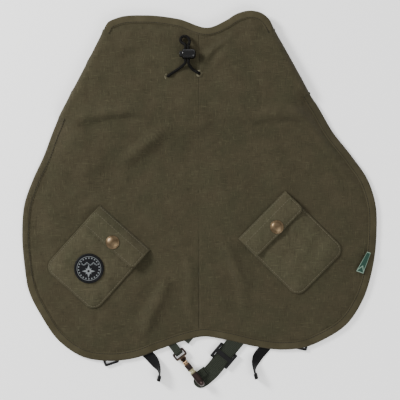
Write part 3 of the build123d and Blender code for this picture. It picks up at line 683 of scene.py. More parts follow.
def sheetMesh(name, points, groups, material, thickness, uv=None):
    # A closed cloth: the upper face as given, a lower face moved back along the normals, and a rim.
    points = np.asarray(points, float)
    count = len(points)
    normals = np.zeros_like(points)
    for group in groups:
        a, b, c, d = (points[group[:, k]] for k in (0, 1, 2, -1))
        span = np.cross(c - a, d - b)
        for column in group.T:
            np.add.at(normals, column, span)
    pairs = np.concatenate([np.stack([group[:, k], np.roll(group, -1, 1)[:, k]], 1)
                            for group in groups for k in range(group.shape[1])])
    openEdges = pairs[~np.isin(pairs[:, 1] * count + pairs[:, 0], pairs[:, 0] * count + pairs[:, 1])]
    rim = np.stack([openEdges[:, 1], openEdges[:, 0], openEdges[:, 0] + count, openEdges[:, 1] + count], 1)
    faces = []
    for group in groups:
        faces += group.tolist() + (group[:, ::-1] + count).tolist()
    under = points - unitRows(normals) * thickness
    under[:, 2] = np.maximum(under[:, 2], 0.05)
    smooth = np.r_[np.ones(len(faces), bool), np.zeros(len(rim), bool)]
    both = np.concatenate([points, under])
    uvBoth = None if uv is None else np.concatenate([uv, uv])
    return makeMesh(name, both, faces + rim.tolist(), material, uvBoth, smooth)


def polarMesh(name, rows, centre, drop, material, closed, thickness):
    # Rings of the coat's upper face lowered by drop, closed at the centre by a fan.
    rings, around = rows.shape[:2]
    heights = sheetTop(rows[..., 0], rows[..., 1]) - drop
    centreHeight = sheetTop(centre[:1], centre[1:])[0] - drop
    points = np.concatenate([np.c_[rows.reshape(-1, 2), heights.ravel()], [[*centre, centreHeight]]])
    quads = gridFaces(rings, around, closeColumns=closed)[:, ::-1]
    last = (rings - 1) * around
    j = np.arange(around if closed else around - 1)
    fan = np.stack([last + (j + 1) % around, last + j, np.full(len(j), rings * around)], 1)
    return sheetMesh(name, points, [quads, fan], material, thickness)


# back panels and lining
back = {"offsets": [0, 0.35, 0.8, 1.4, 2.1, 3.0, 4.1, 5.4, 7.0, 9.0, 11.5], "rings": 84, "centreY": 10.0,
        "liningInset": 2.4}


def splitLoop(side):
    # The outline's stretch on one side of the centre-back seam, with both ends on the seam.
    neckSplit = int(np.abs(edge[:90, 0] - seamX).argmin())
    low = np.where(edge[:, 1] < 0)[0]
    hemSplit = int(low[np.abs(edge[low, 0] - seamX).argmin()])
    index = np.arange(neckSplit, hemSplit + 1)
    if side == "left":
        index = np.r_[np.arange(hemSplit, len(edge)), np.arange(0, neckSplit + 1)]
    loop, inward = edge[index].copy(), edgeIn[index].copy()
    loop[[0, -1], 0] = seamX
    straight = np.array([[0, -1.0], [0, 1.0]] if side == "right" else [[0, 1.0], [0, -1.0]])
    steps = np.arange(len(loop))[:, None]
    for end, away in ((0, steps), (1, steps[::-1])):
        share = smoothStep(away / 14)
        inward = unitRows(straight[end] * (1 - share) + inward * share)
    return loop, inward


def buildBack():
    centre = (seamX, back["centreY"])
    for side in ("left", "right"):
        loop, inward = splitLoop(side)
        rows = polarRings(loop, inward, centre, back["offsets"], back["rings"])
        panel = polarMesh(f"backPanel_{side}", rows, centre, 0, coatCanvas, False, clothThick)
        placePiece(panel, "coat", "canvas", f"back_panel_{side}")
    loop = edge + edgeIn * back["liningInset"]
    rows = polarRings(loop, edgeIn, centre, [0, 1.5, 4, 8], 40)
    lining = polarMesh("backLining", rows, centre, clothThick + 0.35, liningCloth, True, 1.0)
    placePiece(lining, "coat", "lining", "back_lining")


buildBack()
print("back panels and lining laid")


# edge bindings
def bindingSection(width, thick, under):
    # Closed section of a tape folded over an edge: (distance in from the edge, height above the
    # cloth, 1 for the upper leaf or 0 for the lower). The stitch line is a shallow groove.
    top = np.linspace(width, 0.9, 12)
    groove = -0.32 * np.exp(-((top - (width - 1.5)) / 0.5) ** 2)
    crown = 0.25 * np.sin(np.pi * (top / width)) ** 0.8
    lip = 0.45 * np.exp(-((top - width) / 0.35) ** 2)
    upper = np.stack([top, thick + (groove + crown) - lip, np.ones(12)], 1)
    angle = np.linspace(60, -60, 5) * np.pi / 180
    nose = np.stack([0.9 - 1.35 * np.cos(angle), np.sin(angle), (np.sin(angle) + 1) / 2], 1)
    nose[:, 1] = np.where(nose[:, 1] > 0, thick * nose[:, 1], nose[:, 1] * 0.6)
    low = np.linspace(0.9, width - 0.6, 5)
    lower = np.stack([low, np.full(5, -under), np.zeros(5)], 1)
    inside = np.array([[width + 0.1, 0.02, 1.0]])
    return np.concatenate([inside, upper, nose, lower])


def bindingRun(name, node, loop, inward, tuck, topOf, thickness):
    # The tape's section carried along part of an outline, riding on the cloth's own height.
    section = bindingSection(outline["bindingWidth"], 0.95, 0.55)
    fromEnd = np.minimum(np.arange(len(loop)), np.arange(len(loop))[::-1])
    sink = (1 - smoothStep(fromEnd / 7))[:, None]
    tuck = tuck[:, None]
    inset = section[None, :, 0] + tuck * 2.2 + sink * 2.0
    xy = loop[:, None] + inward[:, None] * inset[..., None]
    inner = loop[:, None] + inward[:, None] * np.maximum(inset, 0.2)[..., None]
    sheet = topOf(inner[..., 0], inner[..., 1])
    ripples = 0.10 * ripple(xy[..., 0], xy[..., 1], 9, 21) * section[None, :, 2]
    height = (sheet + section[None, :, 1] - (1 - section[None, :, 2]) * thickness + ripples - tuck * 2.4
              - sink * 1.3)
    points = np.concatenate([xy, np.maximum(height, 0.12)[..., None]], -1)
    count, around = points.shape[:2]
    faces = [face[::-1] for face in tubeFaces(count, around)]
    along = lengthAlong(loop) * ribsPerMm / 1.1
    uv = np.stack([np.repeat(along, around), np.tile(section[:, 0] * ribsPerMm / 1.1, count)], 1)
    tape = makeMesh(name, points.reshape(-1, 3), faces, bindingTape, uv)
    placePiece(tape, "coat", "binding", node)
    line = loop + inward * (outline["bindingWidth"] - 1.5)
    lineTop = topOf(line[:, 0], line[:, 1]) + 0.95 - 0.02
    shown = tuck[:, 0] < 0.5
    if shown.any():
        first, last = np.where(shown)[0][[0, -1]]
        path = np.concatenate([line, lineTop[:, None]], 1)[first:last + 1]
        stitches = stitchRun(name + "_stitches", path, darkThread, length=2.5, radius=0.36)
        placePiece(stitches, "coat", "binding")


def buildBindings():
    corners = [outline["lobes"][0], outline["lobes"][-1], outline["neck"][-1]]
    right, left, neck = (int(np.abs(edge - corner).sum(1).argmin()) for corner in corners)
    neckRange = np.r_[len(edge) - 1, np.arange(0, neck + 2)]
    for name, node, index in (("hemBinding", "hem_binding", np.arange(right, left + 1)),
                              ("neckBinding", "neck_binding", neckRange)):
        bindingRun(name, node, edge[index], edgeIn[index], edgeTuck[index], sheetTop, clothThick + 0.5)


buildBindings()
print("bindings sewn on")

# the chest panel, its lining and its bindings, under the back
chest = {
    "neck": [(-109.5, 193), (-85, 188), (-60, 184), (-20, 177), (30, 181), (60, 187), (84, 194)],
    "hem": [(-160.3, 94.5), (-136, 84), (-102, 80), (-50, 90), (-12, 96), (28, 89), (80, 79), (106, 92),
            (124.5, 121)],
    "floor": 0.6, "sideRise": 7.0, "across": 150, "down": 60,
}


def resample(path, count):
    along = lengthAlong(path)
    where = np.linspace(0, along[-1], count)
    return np.stack([np.interp(where, along, path[:, k]) for k in range(path.shape[1])], 1)


def sideGap(x, y):
    # Distance in from the two folded sides, each taken as its outline curve.
    left, _ = alongPath(x, y, outline["leftSide"])
    right, _ = alongPath(x, y, outline["rightSide"])
    return np.minimum(np.abs(left), np.abs(right))


def chestTop(x, y):
    # Flat on the floor, rising through a quarter round to meet the back at the folded sides.
    rise = chest["sideRise"]
    near = np.clip(1 - sideGap(x, y) / rise, 0, 1)
    waves = 0.18 * ripple(x, y, 34, 17) + 0.06 * ripple(x, y, 9, 19)
    curve = 0.86 * (1 - np.sqrt(1 - near ** 2 * 0.999))
    return chest["floor"] + clothThick + rise * curve + np.abs(waves) * 0.8


def chestGrid(name, material, node, slot, lift, inset, thickness):
    neck = resample(smoothCurve(chest["neck"], 2.0), chest["across"])
    hem = resample(smoothCurve(chest["hem"], 2.0), chest["across"])
    share = 0.5 - 0.5 * np.cos(np.pi * np.linspace(0, 1, chest["across"]))
    neck = np.stack([np.interp(share, np.linspace(0, 1, len(neck)), neck[:, k]) for k in (0, 1)], 1)
    hem = np.stack([np.interp(share, np.linspace(0, 1, len(hem)), hem[:, k]) for k in (0, 1)], 1)
    down = np.linspace(inset / 100, 1 - inset / 100, chest["down"])[:, None, None]
    xy = neck[None] * (1 - down) + hem[None] * down
    middle = xy.mean(1, keepdims=True)
    xy = middle + (xy - middle) * (1 - inset / 120)
    height = chestTop(xy[..., 0], xy[..., 1]) + lift
    points = np.concatenate([xy, height[..., None]], -1).reshape(-1, 3)
    faces = gridFaces(chest["down"], chest["across"])[:, ::-1]
    piece = sheetMesh(name, points, [faces], material, thickness)
    placePiece(piece, "coat", slot, node)


def buildChest():
    chestGrid("chestPanel", coatCanvas, "chest_panel", "canvas", 0.0, 0.0, clothThick)
    chestGrid("chestLining", liningCloth, "chest_lining", "lining", 1.25, 2.0, 1.0)
    for key, node, sign in (("neck", "chest_neck_binding", 1), ("hem", "chest_hem_binding", -1)):
        curve = smoothCurve(chest[key], 2.0)
        tangent = unitRows(np.gradient(curve, axis=0))
        inward = sign * np.stack([tangent[:, 1], -tangent[:, 0]], 1)
        if key == "hem":
            curve, inward = curve[::-1], inward[::-1]
        curve, inward = curve[5:-5], inward[5:-5]
        bindingRun(f"{key}ChestBinding", node, curve, inward, np.zeros(len(curve)),
                   lambda x, y: chestTop(x, y) + 0.05, clothThick + 0.1)


buildChest()
print("chest panel laid")

# drawcord channel and the cord's two hidden runs inside it
channel = {"y": 141.5, "from": -131.0, "to": 108.0, "width": 14.0, "middle": 10.5, "height": 3.6,
           "cordZ": 10.9, "cordRuns": [(-38.0, -128.5, 139.5), (0.5, 105.5, 143.0)]}


def straightRun(start, end, count=60):
    return np.linspace(np.array(start, float), np.array(end, float), count)


def ovalProfile(half, deep, count=24):
    angle = np.linspace(0, 2 * np.pi, count, endpoint=False)
    return np.stack([half * np.cos(angle), deep * np.sin(angle)], 1)


def buildChannel():
    start, end, y, z = (channel[key] for key in ("from", "to", "y", "middle"))
    casing = tube("cordChannel", straightRun((start, y, z), (end, y, z)), (0.0, 1.0, 0.0),
                  flatProfile(channel["width"], channel["height"], 0.1), liningCloth)
    placePiece(casing, "coat", "lining", "neck_cord_channel")
    paths = [straightRun((near, y, channel["cordZ"]), (far, y, channel["cordZ"]), 40)
             for near, far, y in channel["cordRuns"]]
    runs = [tubeShape(path, (0.0, 1.0, 0.0), ovalProfile(1.5, 1.5, 16)) for path in paths]
    placePiece(joinShapes("hiddenCordRuns", runs, blackCord), "coat", "cord", "neck_cord_runs")


buildChannel()

# pockets, each in its own plane: x along the flap's sewn edge, y toward it
pocket = {
    "left": {"at": (-85.3, -31.4), "xAxis": (0.745, -0.667), "snapX": 0.9, "seeds": (31, 51)},
    "right": {"at": (70.3, -17.1), "xAxis": (0.701, 0.713), "snapX": 2.0, "seeds": (41, 61)},
    "width": 77.0, "mouth": -10.5, "bottom": -95.0, "corner": 12.0, "top": 12.2, "edgeLift": 1.15,
    "flapWidth": 76.0, "flapEnd": -29.0, "flapTop": 16.15, "flapThick": 1.0, "flapCorner": 6.0,
    "snapY": -21.2, "capBase": 16.1, "stitchInset": 2.1, "badgeAt": (0.7, -61.2), "badgeRadius": 16.8,
    "foldFrom": (0.3, -5.5), "foldZ": 11.5,
}


def pocketFrame(side):
    spec = pocket[side]
    xAxis = np.array(spec["xAxis"]) / np.linalg.norm(spec["xAxis"])
    return np.array(spec["at"], float), xAxis, np.array([-xAxis[1], xAxis[0]])


def toCoat(side, u, v):
    at, xAxis, yAxis = pocketFrame(side)
    return at[0] + u * xAxis[0] + v * yAxis[0], at[1] + u * xAxis[1] + v * yAxis[1]


def roundedGap(u, v, half, bottom, corner):
    # Distance in from a rectangle's sides, lower edge and rounded lower corners.
    qx = np.abs(u) - (half - corner)
    qy = -(v - (bottom + corner))
    outside = np.hypot(np.maximum(qx, 0), np.maximum(qy, 0)) + np.minimum(np.maximum(qx, qy), 0)
    return corner - outside


def pocketTop(side, u, v):
    # The pocket's face: the coat's height at its edge, puffed up inside by 1 - (1 - gap / 15)^2.2, with
    # ripples, a raised hem and a stitch groove. It is calm under the snap and the badge.
    x, y = toCoat(side, u, v)
    base = sheetTop(x, y)
    gap = roundedGap(u, v, pocket["width"] / 2, pocket["bottom"], pocket["corner"])
    spec = pocket[side]
    calm = np.hypot(u - spec["snapX"], v - pocket["snapY"]) / 12
    if side == "left":
        calm = np.minimum(calm, np.hypot(u - pocket["badgeAt"][0], v - pocket["badgeAt"][1]) / 21)
    free = smoothStep(np.clip(calm - 0.8, 0, 1) * 2)
    seed = spec["seeds"][0]
    folds = (0.55 * ripple(u, v, 30, seed) + 0.28 * ripple(u, v, 13, seed + 1)
             + 0.08 * ripple(u, v, 5, seed + 2))
    puff = 1 - (1 - np.clip(gap / 15, 0, 1)) ** 2.2
    low = base + pocket["edgeLift"]
    ridge = 0.45 * np.exp(-((gap - 0.9) / 0.9) ** 2) - 0.35 * np.exp(-((gap - 2.1) / 0.45) ** 2)
    return low + (pocket["top"] - 0.25 - low) * puff + folds * free * puff + ridge


def flapTop(side, u, v):
    # The flap's face: level, drooping at its free edge, and rolled down to the coat at its sewn edge.
    x, y = toCoat(side, u, v)
    base = sheetTop(x, y) + 1.1
    gap = roundedGap(u, v, pocket["flapWidth"] / 2, pocket["flapEnd"], pocket["flapCorner"])
    seed = pocket[side]["seeds"][1]
    calm = smoothStep((np.hypot(u - pocket[side]["snapX"], v - pocket["snapY"]) - 7) / 7)
    folds = (0.35 * ripple(u, v, 26, seed) + 0.12 * ripple(u, v, 9, seed + 1)) * calm
    droop = 1.7 * (1 - np.clip(gap / 11, 0, 1)) ** 2
    ridge = 0.25 * np.exp(-((gap - 0.9) / 0.8) ** 2) - 0.25 * np.exp(-((gap - 2.1) / 0.45) ** 2)
    upper = pocket["flapTop"] - droop * calm + folds * 0.8 + ridge
    turn = np.clip((v + 15.0) / 15.5, 0, 1)
    return base + (upper - base) * (1 - turn ** 2) ** 0.8


def clothGrid(name, side, half, bottom, corner, top, topOf, material, thickness, rows, columns):
    # Rectangle with rounded lower corners: straight columns, each ending on the corner's arc.
    u = half * np.sin(np.linspace(-np.pi / 2, np.pi / 2, columns))
    u = 0.65 * u + 0.35 * np.linspace(-half, half, columns)
    bend = np.maximum(np.abs(u) - (half - corner), 0)
    low = bottom + corner - np.sqrt(np.maximum(corner ** 2 - bend ** 2, 0))
    share = 0.5 - 0.5 * np.cos(np.pi * np.linspace(0, 1, rows))
    share = (0.65 * share + 0.35 * np.linspace(0, 1, rows))[:, None]
    v = low[None] * (1 - share) + top * share
    u = np.broadcast_to(u[None], v.shape)
    x, y = toCoat(side, u, v)
    points = np.stack([x, y, topOf(side, u, v)], -1).reshape(-1, 3)
    return sheetMesh(name, points, [gridFaces(rows, columns)], material, thickness)


def stitchLine(name, side, line, topOf, body, radius, lift=0.12):
    # line is in the pocket's plane; the stitches lie on the given surface.
    line = resample(np.array(line, float), max(8, int(lengthAlong(line)[-1])))
    x, y = toCoat(side, line[:, 0], line[:, 1])
    path = np.stack([x, y, topOf(side, line[:, 0], line[:, 1]) + lift], 1)
    placePiece(stitchRun(f"{name}_{side}", path, oliveThread, radius=radius), body, "pocket_canvas")


def roundedPath(half, bottom, corner, top, inset):
    angle = np.linspace(np.pi, 1.5 * np.pi, 9)
    radius = max(corner - inset, 1.0)
    middle = (-(half - inset) + radius, bottom + inset + radius)
    left = np.stack([middle[0] + radius * np.cos(angle), middle[1] + radius * np.sin(angle)], 1)
    right = left[::-1] * [-1, 1]
    return np.concatenate([[(-(half - inset), top)], left, right, [(half - inset, top)]])


def fans(rows, around):
    # Triangles from the first and the last ring to one point each, the last two of the mesh.
    j = np.arange(around)
    last = (rows - 1) * around
    top = np.stack([j, (j + 1) % around, np.full(around, rows * around)], 1)
    low = np.stack([last + (j + 1) % around, last + j, np.full(around, rows * around + 1)], 1)
    return top.tolist() + low.tolist()


def turned(name, profile, centre, around, material):
    # A profile of (radius, height) turned about the vertical; the first and last radius are 0.
    axis = np.array([0.0, 0.0, 1.0])
    first = unitRows(np.cross(axis, (0.31, 0.95, 0.05)))
    second = np.cross(axis, first)
    profile = np.array(profile, float)
    angle = np.linspace(0, 2 * np.pi, around, endpoint=False)
    ring = np.cos(angle)[:, None] * first + np.sin(angle)[:, None] * second
    body = profile[1:-1, None, :1] * ring[None] + profile[1:-1, None, 1:] * axis
    points = np.concatenate([body.reshape(-1, 3), [profile[0, 1] * axis], [profile[-1, 1] * axis]]) + centre
    rows = len(profile) - 2
    quads = gridFaces(rows, around, closeColumns=True)[:, ::-1]
    return makeMesh(name, points, quads.tolist() + fans(rows, around), material)


def flipIfInward(piece):
    # Signed volume tells which way a closed mesh's faces point.
    mesh = piece.data
    points = np.empty(len(mesh.vertices) * 3)
    mesh.vertices.foreach_get("co", points)
    points = points.reshape(-1, 3)
    mesh.calc_loop_triangles()
    tri = np.empty(len(mesh.loop_triangles) * 3, int)
    mesh.loop_triangles.foreach_get("vertices", tri)
    a, b, c = (points[tri.reshape(-1, 3)[:, k]] for k in range(3))
    if (a * np.cross(b, c)).sum() < 0:
        mesh.flip_normals()
    return piece


capProfile = [(0, 2.45), (1.2, 2.42), (2.6, 2.26), (4.0, 1.93), (5.2, 1.45), (5.9, 1.02), (6.25, 0.8),
              (6.6, 0.78), (7.1, 0.98), (7.5, 0.94), (7.8, 0.62), (7.75, 0.25), (7.3, 0.0), (6.0, -0.05),
              (0, -0.05)]


def buildPocket(side):
    half, bottom, corner, mouth = (pocket[key] for key in ("width", "bottom", "corner", "mouth"))
    half = half / 2
    inset = pocket["stitchInset"]
    cloth = pocketCanvas[side]
    bag = clothGrid(f"pocket_{side}Bag", side, half, bottom, corner, mouth, pocketTop, cloth, 1.0, 150, 130)
    placePiece(bag, "coat", "pocket_canvas", f"pocket_{side}")
    bagLine = roundedPath(half, bottom, corner, mouth, inset)
    stitchLine("pocketStitches", side, bagLine, pocketTop, "coat", 0.34)
    flapHalf, flapEnd, flapCorner = pocket["flapWidth"] / 2, pocket["flapEnd"], pocket["flapCorner"]
    flap = clothGrid(f"pocket_{side}Flap", side, flapHalf, flapEnd, flapCorner, 0.5, flapTop, cloth,
                     pocket["flapThick"], 90, 120)
    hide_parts(f"pocket_flap_{side}")
    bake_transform(flap)
    flapLine = roundedPath(flapHalf, flapEnd, flapCorner, -9.1, inset)
    stitchLine("flapStitches", side, flapLine, flapTop, f"{side}_flap", 0.32)
    for name, v, body, radius, lift in (("flapSeam", -1.2, "coat", 0.34, 0.2),
                                        ("flapSeamLower", -8.8, f"{side}_flap", 0.32, 0.12)):
        stitchLine(name, side, [(-half + 2.5, v), (half - 2.5, v)], flapTop, body, radius, lift)
    centre = np.array([*toCoat(side, pocket[side]["snapX"], pocket["snapY"]), pocket["capBase"]])
    cap = turned(f"snapCap_{side}", capProfile, centre, 72, copperSnap)
    placePiece(flipIfInward(cap), f"{side}_flap", "antique_brass", f"snap_cap_{side}")


for pocketSide in ("left", "right"):
    buildPocket(pocketSide)
print("pockets, flaps and snaps made")

# rubber badge on the left pocket: raised rim, a ring of ticks, a compass star on ridge lines
badge = {"base": 12.25, "rim": 15.5, "ring": 13.5, "height": 1.1, "relief": 0.55,
         "rings": 100, "around": 360}


def badgeRelief(r, angle):
    # (height, paint), both 0 to 1: a plain rim, and in paint a ring, ticks, a zigzag ridge and a star.
    def band(value, middle, half):
        return smoothStep((half - np.abs(value - middle)) / 0.22 + 0.5)

    rim = band(r, badge["rim"], 0.75)
    ring = band(r, badge["ring"], 0.26)
    tick = band(r, badge["ring"] - 1.75, 0.75) * band((angle * 22 / np.pi) % 2, 1.0, 0.42)
    x, y = r * np.cos(angle), r * np.sin(angle)
    starX, starY = x + 0.4, y + 3.1
    star = np.zeros_like(r)
    for turn, reach, waist in ((0, 7.6, 2.4), (np.pi / 4, 5.0, 1.9)):
        a = np.abs(starX * np.cos(turn) + starY * np.sin(turn))
        b = np.abs(-starX * np.sin(turn) + starY * np.cos(turn))
        long, short = np.maximum(a, b), np.minimum(a, b)
        point = smoothStep((waist * (1 - long / reach) - short) / 0.22 + 0.5) * (long < reach)
        star = np.maximum(star, point)
    hollow = smoothStep((1.35 - np.hypot(starX, starY)) / 0.22 + 0.5)
    peak = np.abs(((x + 2.2) / 7.4) % 1 - 0.5) * 2
    ridge = band(y, 3.6 + 3.4 * peak, 0.42) * (r < badge["ring"] - 3.2)
    snow = band(y, 2.4 + 3.4 * peak, 0.2) * (r < badge["ring"] - 3.6) * (peak > 0.35)
    paint = np.clip(ring + tick + np.maximum(star - hollow, 0) + ridge + snow, 0, 1)
    return np.clip(rim + paint, 0, 1), paint


def buildBadge():
    x0, y0 = toCoat("left", *pocket["badgeAt"])
    outer = pocket["badgeRadius"]
    radius = np.r_[np.linspace(0.05, outer - 0.35, badge["rings"]), outer - 0.12, outer, outer, outer - 0.3]
    angle = np.linspace(0, 2 * np.pi, badge["around"], endpoint=False)
    r, a = np.meshgrid(radius, angle, indexing="ij")
    relief, drawn = badgeRelief(np.minimum(r, outer - 0.35), a)
    height = badge["height"] + badge["relief"] * relief
    height[-4:] = np.array([0.9 * badge["height"], 0.7 * badge["height"], 0.1, 0.0])[:, None]
    points = np.stack([x0 + r * np.cos(a), y0 + r * np.sin(a), badge["base"] + height], -1).reshape(-1, 3)
    rows, around = r.shape
    points = np.concatenate([points, [[x0, y0, badge["base"] + badge["height"] + badge["relief"] * 0.5]],
                             [[x0, y0, badge["base"]]]])
    faces = gridFaces(rows, around, closeColumns=True)[:, ::-1].tolist() + fans(rows, around)
    piece = makeMesh("badgeRubber", points, faces, badgeRubber)
    layer = piece.data.attributes.new("relief", "FLOAT", "POINT")
    layer.data.foreach_set("value", np.r_[drawn.ravel(), 0.0, 0.0])
    placePiece(flipIfInward(piece), "coat", "badge_rubber", "badge")
    angle = np.linspace(0, 2 * np.pi, 73)
    ring = np.stack([x0 + (outer - 0.62) * np.cos(angle), y0 + (outer - 0.62) * np.sin(angle),
                     np.full(73, badge["base"] + badge["height"] + 0.15)], 1)
    placePiece(stitchRun("badgeStitches", ring, darkThread, pitch=2.4, length=1.7), "coat", "badge_rubber")


buildBadge()
print("badge made")

# side label: a folded tab caught in the hem's seam
label = {"seam": [(193.6, -60.0), (185.0, -83.5)], "width": 8.2, "taper": 0.5, "z": 8.6, "rows": 40}


def buildLabel():
    # A folded strip swept down the seam, widening by the taper, its free edge curling a little.
    start, end = (np.array(p, float) for p in label["seam"])
    along = unitRows(end - start)
    inward = np.array([along[1], -along[0]])
    share = np.linspace(0, 1, label["rows"])
    turn = np.linspace(-np.pi / 2, np.pi / 2, 7)
    width = label["width"]
    flat = np.linspace(0.3, width, 14)
    lower = np.stack([flat[::-1], np.full(14, -0.42)], 1)
    upper = np.stack([flat, 0.42 + 0.20 * np.sin(np.pi * flat / width)], 1)
    nose = np.stack([0.3 - 0.5 * np.cos(turn), 0.42 * np.sin(turn)], 1)[1:-1]
    section = np.concatenate([lower, nose, upper])
    curl = 0.35 * np.sin(share * 5.0 + 0.6)
    spread = label["taper"] + (1 - label["taper"]) * share
    spine = start + (end - start) * share[:, None]
    xy = spine[:, None] + inward * section[None, :, :1] * spread[:, None, None]
    lift = section[None, :, 1] + curl[:, None] * (section[None, :, 0] / width) ** 2
    points = np.concatenate([xy, (label["z"] + lift)[..., None]], -1)
    rows, around = points.shape[:2]
    uv = np.stack([np.tile(section[:, 0] / width, rows), np.repeat(share, around)], 1)
    piece = makeMesh("sideLabel", points.reshape(-1, 3), tubeFaces(rows, around), labelCloth, uv)
    placePiece(flipIfInward(piece), "label", "label_cloth", "side_label")


buildLabel()

# straps of webbing and elastic
hook = {"middle": (-11.0, -191.0), "way": (0.6111, -0.7916), "wireZ": 4.25}
strap = {
    "webWidth": 18.0, "webThick": 1.5, "webZ": 2.65, "legWidth": 12.0, "legZ": 0.78,
    "belly": [(-7.0, -208.4, 0.86), (-1.0, -206.8, 0.86), (6.0, -202.0, 1.0), (14.0, -194.5, 2.2),
              (19.5, -187.5, 2.65), (31.0, -172.3, 2.65), (88.3, -104.4, 2.65)],
    "bellyEnd": 8.6,
    # folds round the hook and its eye: distance back along the strap, height
    "bellyLoop": [(13, 2.65), (8, 2.6), (5, 1.95), (2.5, 1.3), (0, 1.05), (-2.4, 1.95), (-3.2, 4.25),
                  (-2.4, 6.5), (0, 7.45), (2.4, 6.5), (4.4, 4.7), (7.5, 3.98), (11, 3.95)],
    "hookLoop": [(36, 1.15), (20, 1.15), (9, 1.15), (4, 1.2), (0, 1.2), (-2.2, 2.1), (-3.05, 4.25),
                 (-2.1, 6.4), (0, 7.3), (2.3, 6.4), (4.4, 4.6), (7.5, 3.0), (12, 2.6), (22, 2.55),
                 (32, 2.55)],
    "left": [(-95, -85), (-7.5, -157)],
    "legs": {
        "left": {"route": [(-96, -138), (-72, -163), (-56, -179), (-49, -187), (-45, -196),
                           (-47.5, -205.5)],
                 "tab": [(-112, -150), (-104.5, -173)]},
        "right": {"route": [(104, -128), (84, -156), (72, -171), (64.5, -179), (61, -190), (64, -203)],
                  "tab": [(120, -136), (116, -155.5)]},
    },
    # sewn pads: place, underside, side length
    "patches": [((88.3, -104.4), 3.4, 24), ((-95, -85), 3.4, 24), ((-96, -138), 1.5, 20),
                ((104, -128), 1.5, 20), ((-112, -150), 1.5, 20), ((120, -136), 1.5, 20)],
    "patchTop": 4.0,
}


def softPath(points, step=1.0, blur=9):
    # Straight runs with the corners rounded by a running mean.
    path = np.array(points, float)
    count = int(np.linalg.norm(np.diff(path, axis=0), axis=1).sum() / step) + 2
    path = resample(path, count)
    pad = np.concatenate([np.repeat(path[:1], blur, 0), path, np.repeat(path[-1:], blur, 0)])
    window = np.ones(2 * blur + 1) / (2 * blur + 1)
    smooth = np.stack([np.convolve(pad[:, k], window, mode="valid") for k in range(path.shape[1])], 1)
    blend = np.minimum(np.arange(count), np.arange(count)[::-1])[:, None] / blur
    blend = np.clip(blend, 0, 1)
    return smooth * blend + path * (1 - blend)


def leftOf(path):
    tangent = unitRows(np.gradient(path, axis=0))
    return unitRows(np.stack([-tangent[:, 1], tangent[:, 0], np.zeros(len(path))], 1))


def hookPoint(s, c, z):
    # A point given along the hook, across it and in height.
    way = np.array(hook["way"])
    side = np.array([-way[1], way[0]])
    xy = np.array(hook["middle"]) + np.multiply.outer(s, way) + np.multiply.outer(c, side)
    return np.concatenate([xy, np.reshape(z, (-1, 1))], 1)


def buildStraps():
    # Strips swept along their routes; the leg tails turn on edge toward their ends.
    web = flatProfile(strap["webWidth"], strap["webThick"])
    belly = softPath(strap["belly"], 0.8)
    reach = np.arange(len(belly)) * 0.8
    roundEnd = np.sqrt(np.clip(1 - (1 - np.clip(reach / strap["bellyEnd"], 0.02, 1)) ** 2, 0, 1))
    belly[:, 2] += 0.10 * np.sin(reach * 0.21) * (reach > 30)
    loop = smoothCurve(strap["bellyLoop"], 0.6)
    loopPath = hookPoint(np.full(len(loop), 12.8), loop[:, 0], loop[:, 1])
    parts = [tubeShape(belly, leftOf(belly), web, 1.6, roundEnd),
             tubeShape(loopPath, (*hook["way"], 0.0), flatProfile(9.6, 1.4), 1.6)]
    placePiece(joinShapes("bellyWebbing", parts, beltWebbing), "coat", "webbing", "belly_strap")
    path = softPath([(*p, strap["webZ"]) for p in strap["left"]])
    webbing = tube("leftWebbing", path, leftOf(path), web, beltWebbing, 1.6)
    placePiece(webbing, "coat", "webbing", "left_strap")
    loop = smoothCurve(strap["hookLoop"], 0.7)
    loopPath = hookPoint(-23.0 - loop[:, 0], np.zeros(len(loop)), loop[:, 1])
    shape = tubeShape(loopPath, (-hook["way"][1], hook["way"][0], 0.0), flatProfile(9.0, 1.3), 1.6)
    webbing = flipIfInward(joinShapes("hookLoopWebbing", [shape], beltWebbing))
    placePiece(webbing, "coat", "webbing", "hook_loop")
    for side, spec in strap["legs"].items():
        path = softPath([(*p, strap["legZ"]) for p in spec["route"]], 0.8, 8)
        count = len(path)
        far = np.clip((np.arange(count) * 0.8 - (count * 0.8 - 33)) / 26, 0, 1)
        twist = smoothStep(far) * np.radians(84 if side == "left" else -84)
        flat = leftOf(path)
        sideways = flat * np.cos(twist)[:, None] + np.array([0, 0, 1.0]) * np.sin(twist)[:, None]
        path[:, 2] += np.abs(np.sin(twist)) * strap["legWidth"] / 2 * 0.9
        width = strap["legWidth"]
        leg = tubeShape(path, sideways, flatProfile(width - 0.4, 1.4), 1.7)
        fold = tubeShape(path[-8:] + flat[-8:] * 0.2, sideways[-8:], flatProfile(width - 0.1, 3.6), 1.7)
        tail = joinShapes(f"legStrap_{side}", [leg, fold], blackElastic)
        placePiece(tail, "coat", "elastic", f"leg_strap_{side}")
        path = softPath([(*p, strap["legZ"]) for p in spec["tab"]], 0.8, 3)
        tab = tube(f"adjusterTab_{side}", path, leftOf(path), flatProfile(width, 1.4), blackElastic, 1.7)
        placePiece(tab, "coat", "elastic", f"leg_adjuster_tab_{side}")
    pads = []
    for (x, y), low, size in strap["patches"]:
        tall = strap["patchTop"] - low
        path = straightRun((x - size / 2, y, low + tall / 2), (x + size / 2, y, low + tall / 2), 24)
        pads.append(tubeShape(path, (0.0, 1.0, 0.0), flatProfile(size, tall), 1.6))
    placePiece(joinShapes("anchorPatches", pads, beltWebbing), "coat", "webbing", "strap_anchor_patches")


buildStraps()
print("straps laid")


